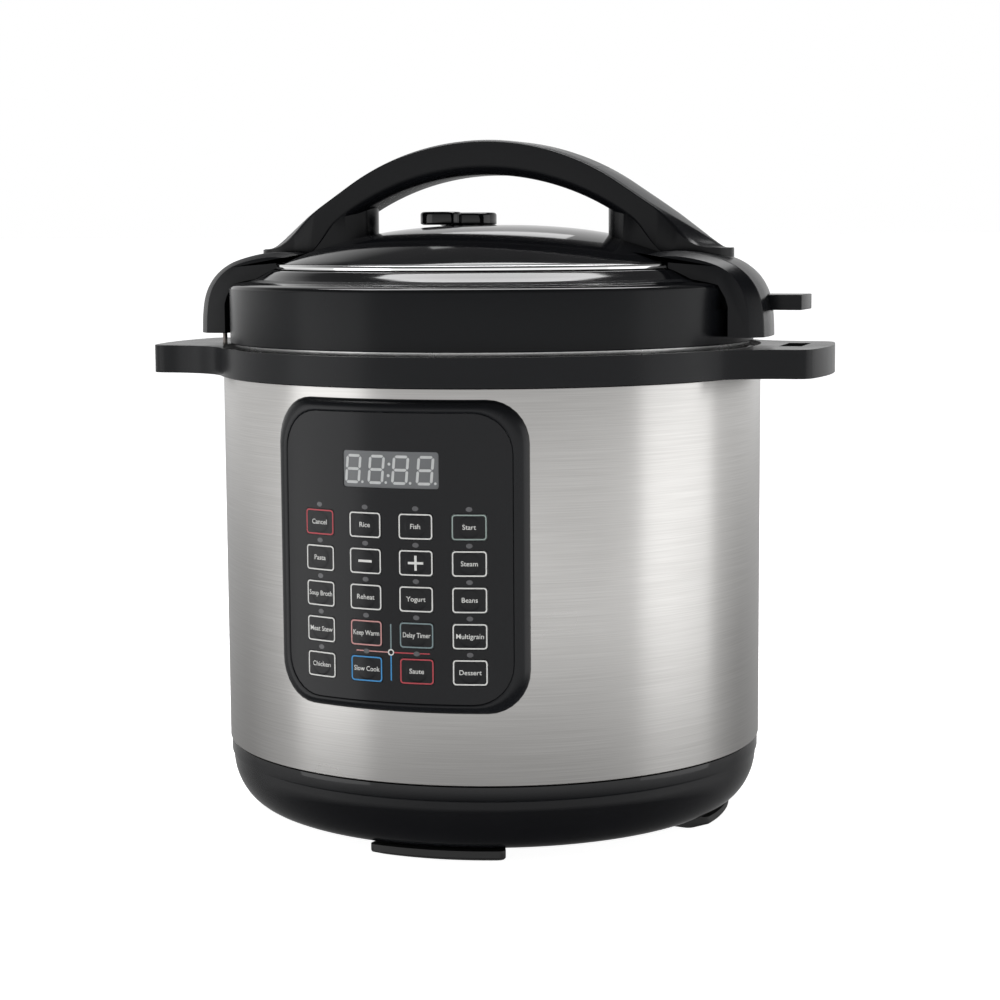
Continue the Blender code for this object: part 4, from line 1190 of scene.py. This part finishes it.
def arch_section(x):
    """The section of the arch across its length: crowned top, upright sides and a rounded underside."""
    half = HANDLE_HALF
    if abs(x) > HANDLE_TIP - HANDLE_HALF:
        half = math.sqrt(max(0.2, HANDLE_HALF**2 - (abs(x) - HANDLE_TIP + HANDLE_HALF) ** 2))
    toe_top = 283.4
    top = max(arch_height(x), toe_top)
    bottom = min(under_arch(x), top - 3.4)
    narrowing = ease(abs(x), 86, 120)
    crest = min((half - 1.6) * (1 - narrowing) + 0.8 * narrowing, half * 0.8)
    shoulder = top - 0.35 * (1 - narrowing)
    edge = (shoulder - 1.0) * (1 - narrowing) + min(toe_top, top - 0.2) * narrowing
    side_top = []
    for step in range(9):
        t = step / 8
        sag = (1 - narrowing) * math.sqrt(1 - t**2) + narrowing * (1 - t) ** 2.2
        side_top.append((crest + (half - crest) * t, edge + (shoulder - edge) * sag))
    crown = [(crest * k / 4, top + (shoulder - top) * (k / 4) ** 2) for k in range(4)]
    soft = min(5.5, half * 0.6, (edge - bottom) * 0.45) * (1 - 0.93 * ease(abs(x), 78, 90))
    lower = arc((half - soft, bottom + soft), soft, 0, -90, 6)
    right = crown + side_top + lower
    left = [(-y, z) for y, z in reversed(right)]
    return [(x, y, z) for y, z in right + [(0, bottom)] + left[:-1]]


def make_handle(mats):
    """The arched handle with its two feet, and the strip inlaid in its crown."""
    stations = []
    for k in range(-44, 45):
        stations.append(109.0 * k / 44)
    tip = [109 + 15 * math.sin(math.radians(a)) for a in (10, 20, 30, 40, 50, 60, 68, 76, 82, 87)]
    stations = [-x for x in reversed(tip)] + stations + tip
    mesh = loft("arch", [arch_section(x) for x in stations])
    centre = FOOT_INNER + HANDLE_HALF
    for side in (1, -1):
        outline = arc((centre, 0), HANDLE_HALF - 0.4, 90, 270, 24)
        outline += [(96, -HANDLE_HALF + 0.4), (96, HANDLE_HALF - 0.4)]
        bottom = [(side * x, y, dome_height(math.hypot(x, y)) - 0.15) for x, y in outline]
        top = [(side * x, y, (arch_height(x) + under_arch(x)) / 2) for x, y in outline]
        mesh = combined(mesh, loft("foot", [bottom, top]), "UNION")
    bend = 63.0
    axis_z = ARCH_TOP - ARCH_R
    groove = arc((0, axis_z), ARCH_R + 4, bend, 180 - bend, 48)
    groove += arc((0, axis_z), ARCH_R - 1.9, 180 - bend, bend, 48)
    mesh = cut(mesh, prism("groove", groove, -10.3, 10.3, upright=True))
    piece("arch_handle", mesh, mats["satin"], "lid", ["lid_handle"], sharp=30)
    bend += 0.15
    band = arc((0, axis_z), ARCH_R - 0.15, bend, 180 - bend, 48)
    band += arc((0, axis_z), ARCH_R - 1.8, 180 - bend, bend, 48)
    mesh = prism("strip", band, -10.05, 10.05, upright=True)
    piece("arch_strip", mesh, mats["satin"], "lid", ["handle_strip"], bevel=0.4, segments=3)


def make_fin(mats):
    """The tab on the right arm that stands the open lid in the ring's slot."""
    corner_low = low("lid_fin")
    corner_high = high("lid_fin")
    outline = rectangle(136.7, corner_low.y, corner_high.x, corner_high.y, 0.5)
    mesh = prism("fin", outline, corner_low.z, corner_high.z)
    piece("parking_tab", mesh, mats["satin"], "lid", ["lid_fin"], bevel=0.45, segments=3)


def make_valves(mats):
    """The steam knob on its pipe, the screen under it, and the float with its cap."""
    x, y = VALVE_XY
    bottom, top = span("steam_valve_knob")
    disc = [(0, top - 0.4), (15, top - 0.4, 1.6), (15, bottom + 1, 0.8), (13, bottom), (0, bottom)]
    nose = [(0, top), (10.5, top, 1.6), (10.5, bottom + 1.2, 0.8), (9, bottom + 0.6), (0, bottom + 0.6)]
    mesh = combined(
        turned("disc", rounded(disc, 0.5, 5, closed=False), 96, VALVE_XY),
        turned("nose", rounded(nose, 0.5, 5, closed=False), 72, (x - 8, y - 17)),
        "UNION",
    )
    piece("pressure_knob", mesh, mats["gloss"], "valve_knob", ["steam_valve_knob"])
    pipe_low, pipe_top = span("steam_pipe")
    pipe = [(5, pipe_top), (5, pipe_low), (2.2, pipe_low), (2.2, pipe_top)]
    piece("vent_pipe", turned("pipe", rounded(pipe, 0.5), 48, VALVE_XY), mats["pressed"], "lid",
          ["steam_pipe"])
    shield_top = high("anti_block_shield").z
    shield = [(0, 239.5), (14, 240.5, 2), (14, shield_top), (12.8, shield_top), (12.8, 242, 1), (0, 241)]
    mesh = turned("shield", rounded(shield, 0.2, closed=False), 72, VALVE_XY)
    for index in range(6):
        slot = block((8, -2, 244.5), (20, 2, 249.0))
        turned_by(slot, 60 * index + 10)
        slot.transform(Matrix.Translation((x * MM, y * MM, 0)))
        mesh = cut(mesh, slot)
    piece("vent_screen", mesh, mats["pressed"], "lid", ["anti_block_shield"], bevel=0.2)
    float_low, float_top = span("float_pin")
    pin = [(0, float_top), (2.6, float_top, 0.8), (2.6, float_low), (0, float_low)]
    piece("float_rod", turned("rod", rounded(pin, 0.2, closed=False), 40, FLOAT_XY), mats["bright"], "float",
          ["float_pin"])
    seal_low, seal_top = span("float_seal")
    cap = [(0, seal_top), (6.5, seal_top, 0.8), (6.5, seal_low, 1.0), (0, seal_low)]
    piece("float_cap", turned("cap", rounded(cap, 0.2, closed=False), 48, FLOAT_XY), mats["silicone"],
          "float",
          ["float_seal"])


# The stage.


def make_camera():
    """The camera of the main view."""
    data = bpy.data.cameras.new("camera")
    data.lens = LENS
    data.clip_start = 0.05
    camera = placed("camera", data)
    azimuth = math.radians(CAMERA_AZIMUTH)
    turn = Matrix.Rotation(math.radians(CAMERA_AZIMUTH + CAMERA_TURN), 4, "Z")
    tilt = Matrix.Rotation(math.radians(90 - CAMERA_PITCH), 4, "X")
    roll = Matrix.Rotation(math.radians(CAMERA_ROLL), 4, "Z")
    camera.matrix_world = turn @ tilt @ roll
    camera.location = (
        CAMERA_DISTANCE * math.sin(azimuth),
        -CAMERA_DISTANCE * math.cos(azimuth),
        CAMERA_HEIGHT,
    )
    bpy.context.scene.camera = camera


def softbox(name, azimuth, distance, height, width, tall, power, target=(0, 0, 0.16)):
    """A rectangular lamp that faces the cooker, at an azimuth measured from the front of the panel."""
    data = bpy.data.lights.new(name, "AREA")
    data.shape = "RECTANGLE"
    data.size = width
    data.size_y = tall
    data.energy = power
    lamp = placed(name, data)
    angle = math.radians(azimuth)
    lamp.location = (distance * math.sin(angle), -distance * math.cos(angle), height)
    lamp.rotation_mode = "QUATERNION"
    lamp.rotation_quaternion = (Vector(target) - lamp.location).to_track_quat("-Z", "Y")


def make_world():
    """The room: a ramp of brightness behind the cooker and one in front, and white for the camera."""
    world = bpy.data.worlds.new("studio")
    bpy.context.scene.world = world
    world.use_nodes = True
    tree = world.node_tree
    ray = added(tree, "TexCoord", {}).outputs["Generated"]
    split = added(tree, "SeparateXYZ", {"Vector": ray})
    height = added(tree, "MapRange", {"Value": split.outputs["Z"], "From Min": -1}).outputs["Result"]
    azimuth = math.radians(CAMERA_AZIMUTH)
    toward = (math.sin(azimuth), -math.cos(azimuth), 0)
    # Which way a direction points: 0 behind the cooker, 1 in front of it.
    facing = added(tree, "VectorMath", {0: ray, 1: toward}, operation="DOT_PRODUCT")
    front = added(tree, "MapRange", {"Value": facing.outputs["Value"], "From Min": -0.6, "From Max": 0.2})
    behind, in_front = (
        ramped(tree, height, [(position, (level,) * 3) for position, level in stops])
        for stops in (ROOM_BEHIND, ROOM_IN_FRONT)
    )
    # Sockets 6 and 7 are a Mix node's two colours, and output 2 is its colour.
    colours = {"Factor": front.outputs["Result"], 6: behind, 7: in_front}
    room = added(tree, "Mix", colours, data_type="RGBA").outputs[2]
    seen = added(tree, "LightPath", {}).outputs["Is Camera Ray"]
    shown = added(tree, "Mix", {"Factor": seen, 6: room, 7: (1, 1, 1, 1)}, data_type="RGBA").outputs[2]
    tree.links.new(shown, tree.nodes["Background"].inputs["Color"])


def make_stage(mats):
    """The floor, the room and the lamps."""
    floor = bpy.data.meshes.new("floor")
    work = bmesh.new()
    bmesh.ops.create_circle(work, cap_ends=True, segments=96, radius=150.0)
    work.to_mesh(floor)
    work.free()
    ground = placed("floor", floor)
    ground.location.z = -0.0002
    ground.visible_glossy = False
    floor.materials.append(mats["floor"])
    make_world()
    softbox("left_softbox", -50, 1.4, 0.18, 0.90, 1.1, 3)
    softbox("right_softbox", 101, 1.4, 0.18, 1.0, 1.1, 2.3)
    softbox("top_softbox", 199.8, 0.44, 1.48, 1.5, 0.7, 23)
    softbox("back_softbox", 199.8, 1.3, 0.96, 0.32, 0.45, 0.5)
    bpy.context.scene.view_settings.view_transform = "Standard"


def main():
    make_camera()
    mats = make_materials()
    steps = (
        make_stage, make_shell, make_bowl, make_feet, make_ring, make_liner, make_hot_plate, make_socket,
        make_cup, make_sense_pin, keep_inner_nodes, make_bezel, make_film, make_keys, make_leds,
        make_guide_lines, make_display, make_pot, make_seal, make_inner_lid, make_lid_ring, make_dome,
        make_arms, make_handle, make_fin, make_valves,
    )
    for step in steps:
        step(mats)


main()
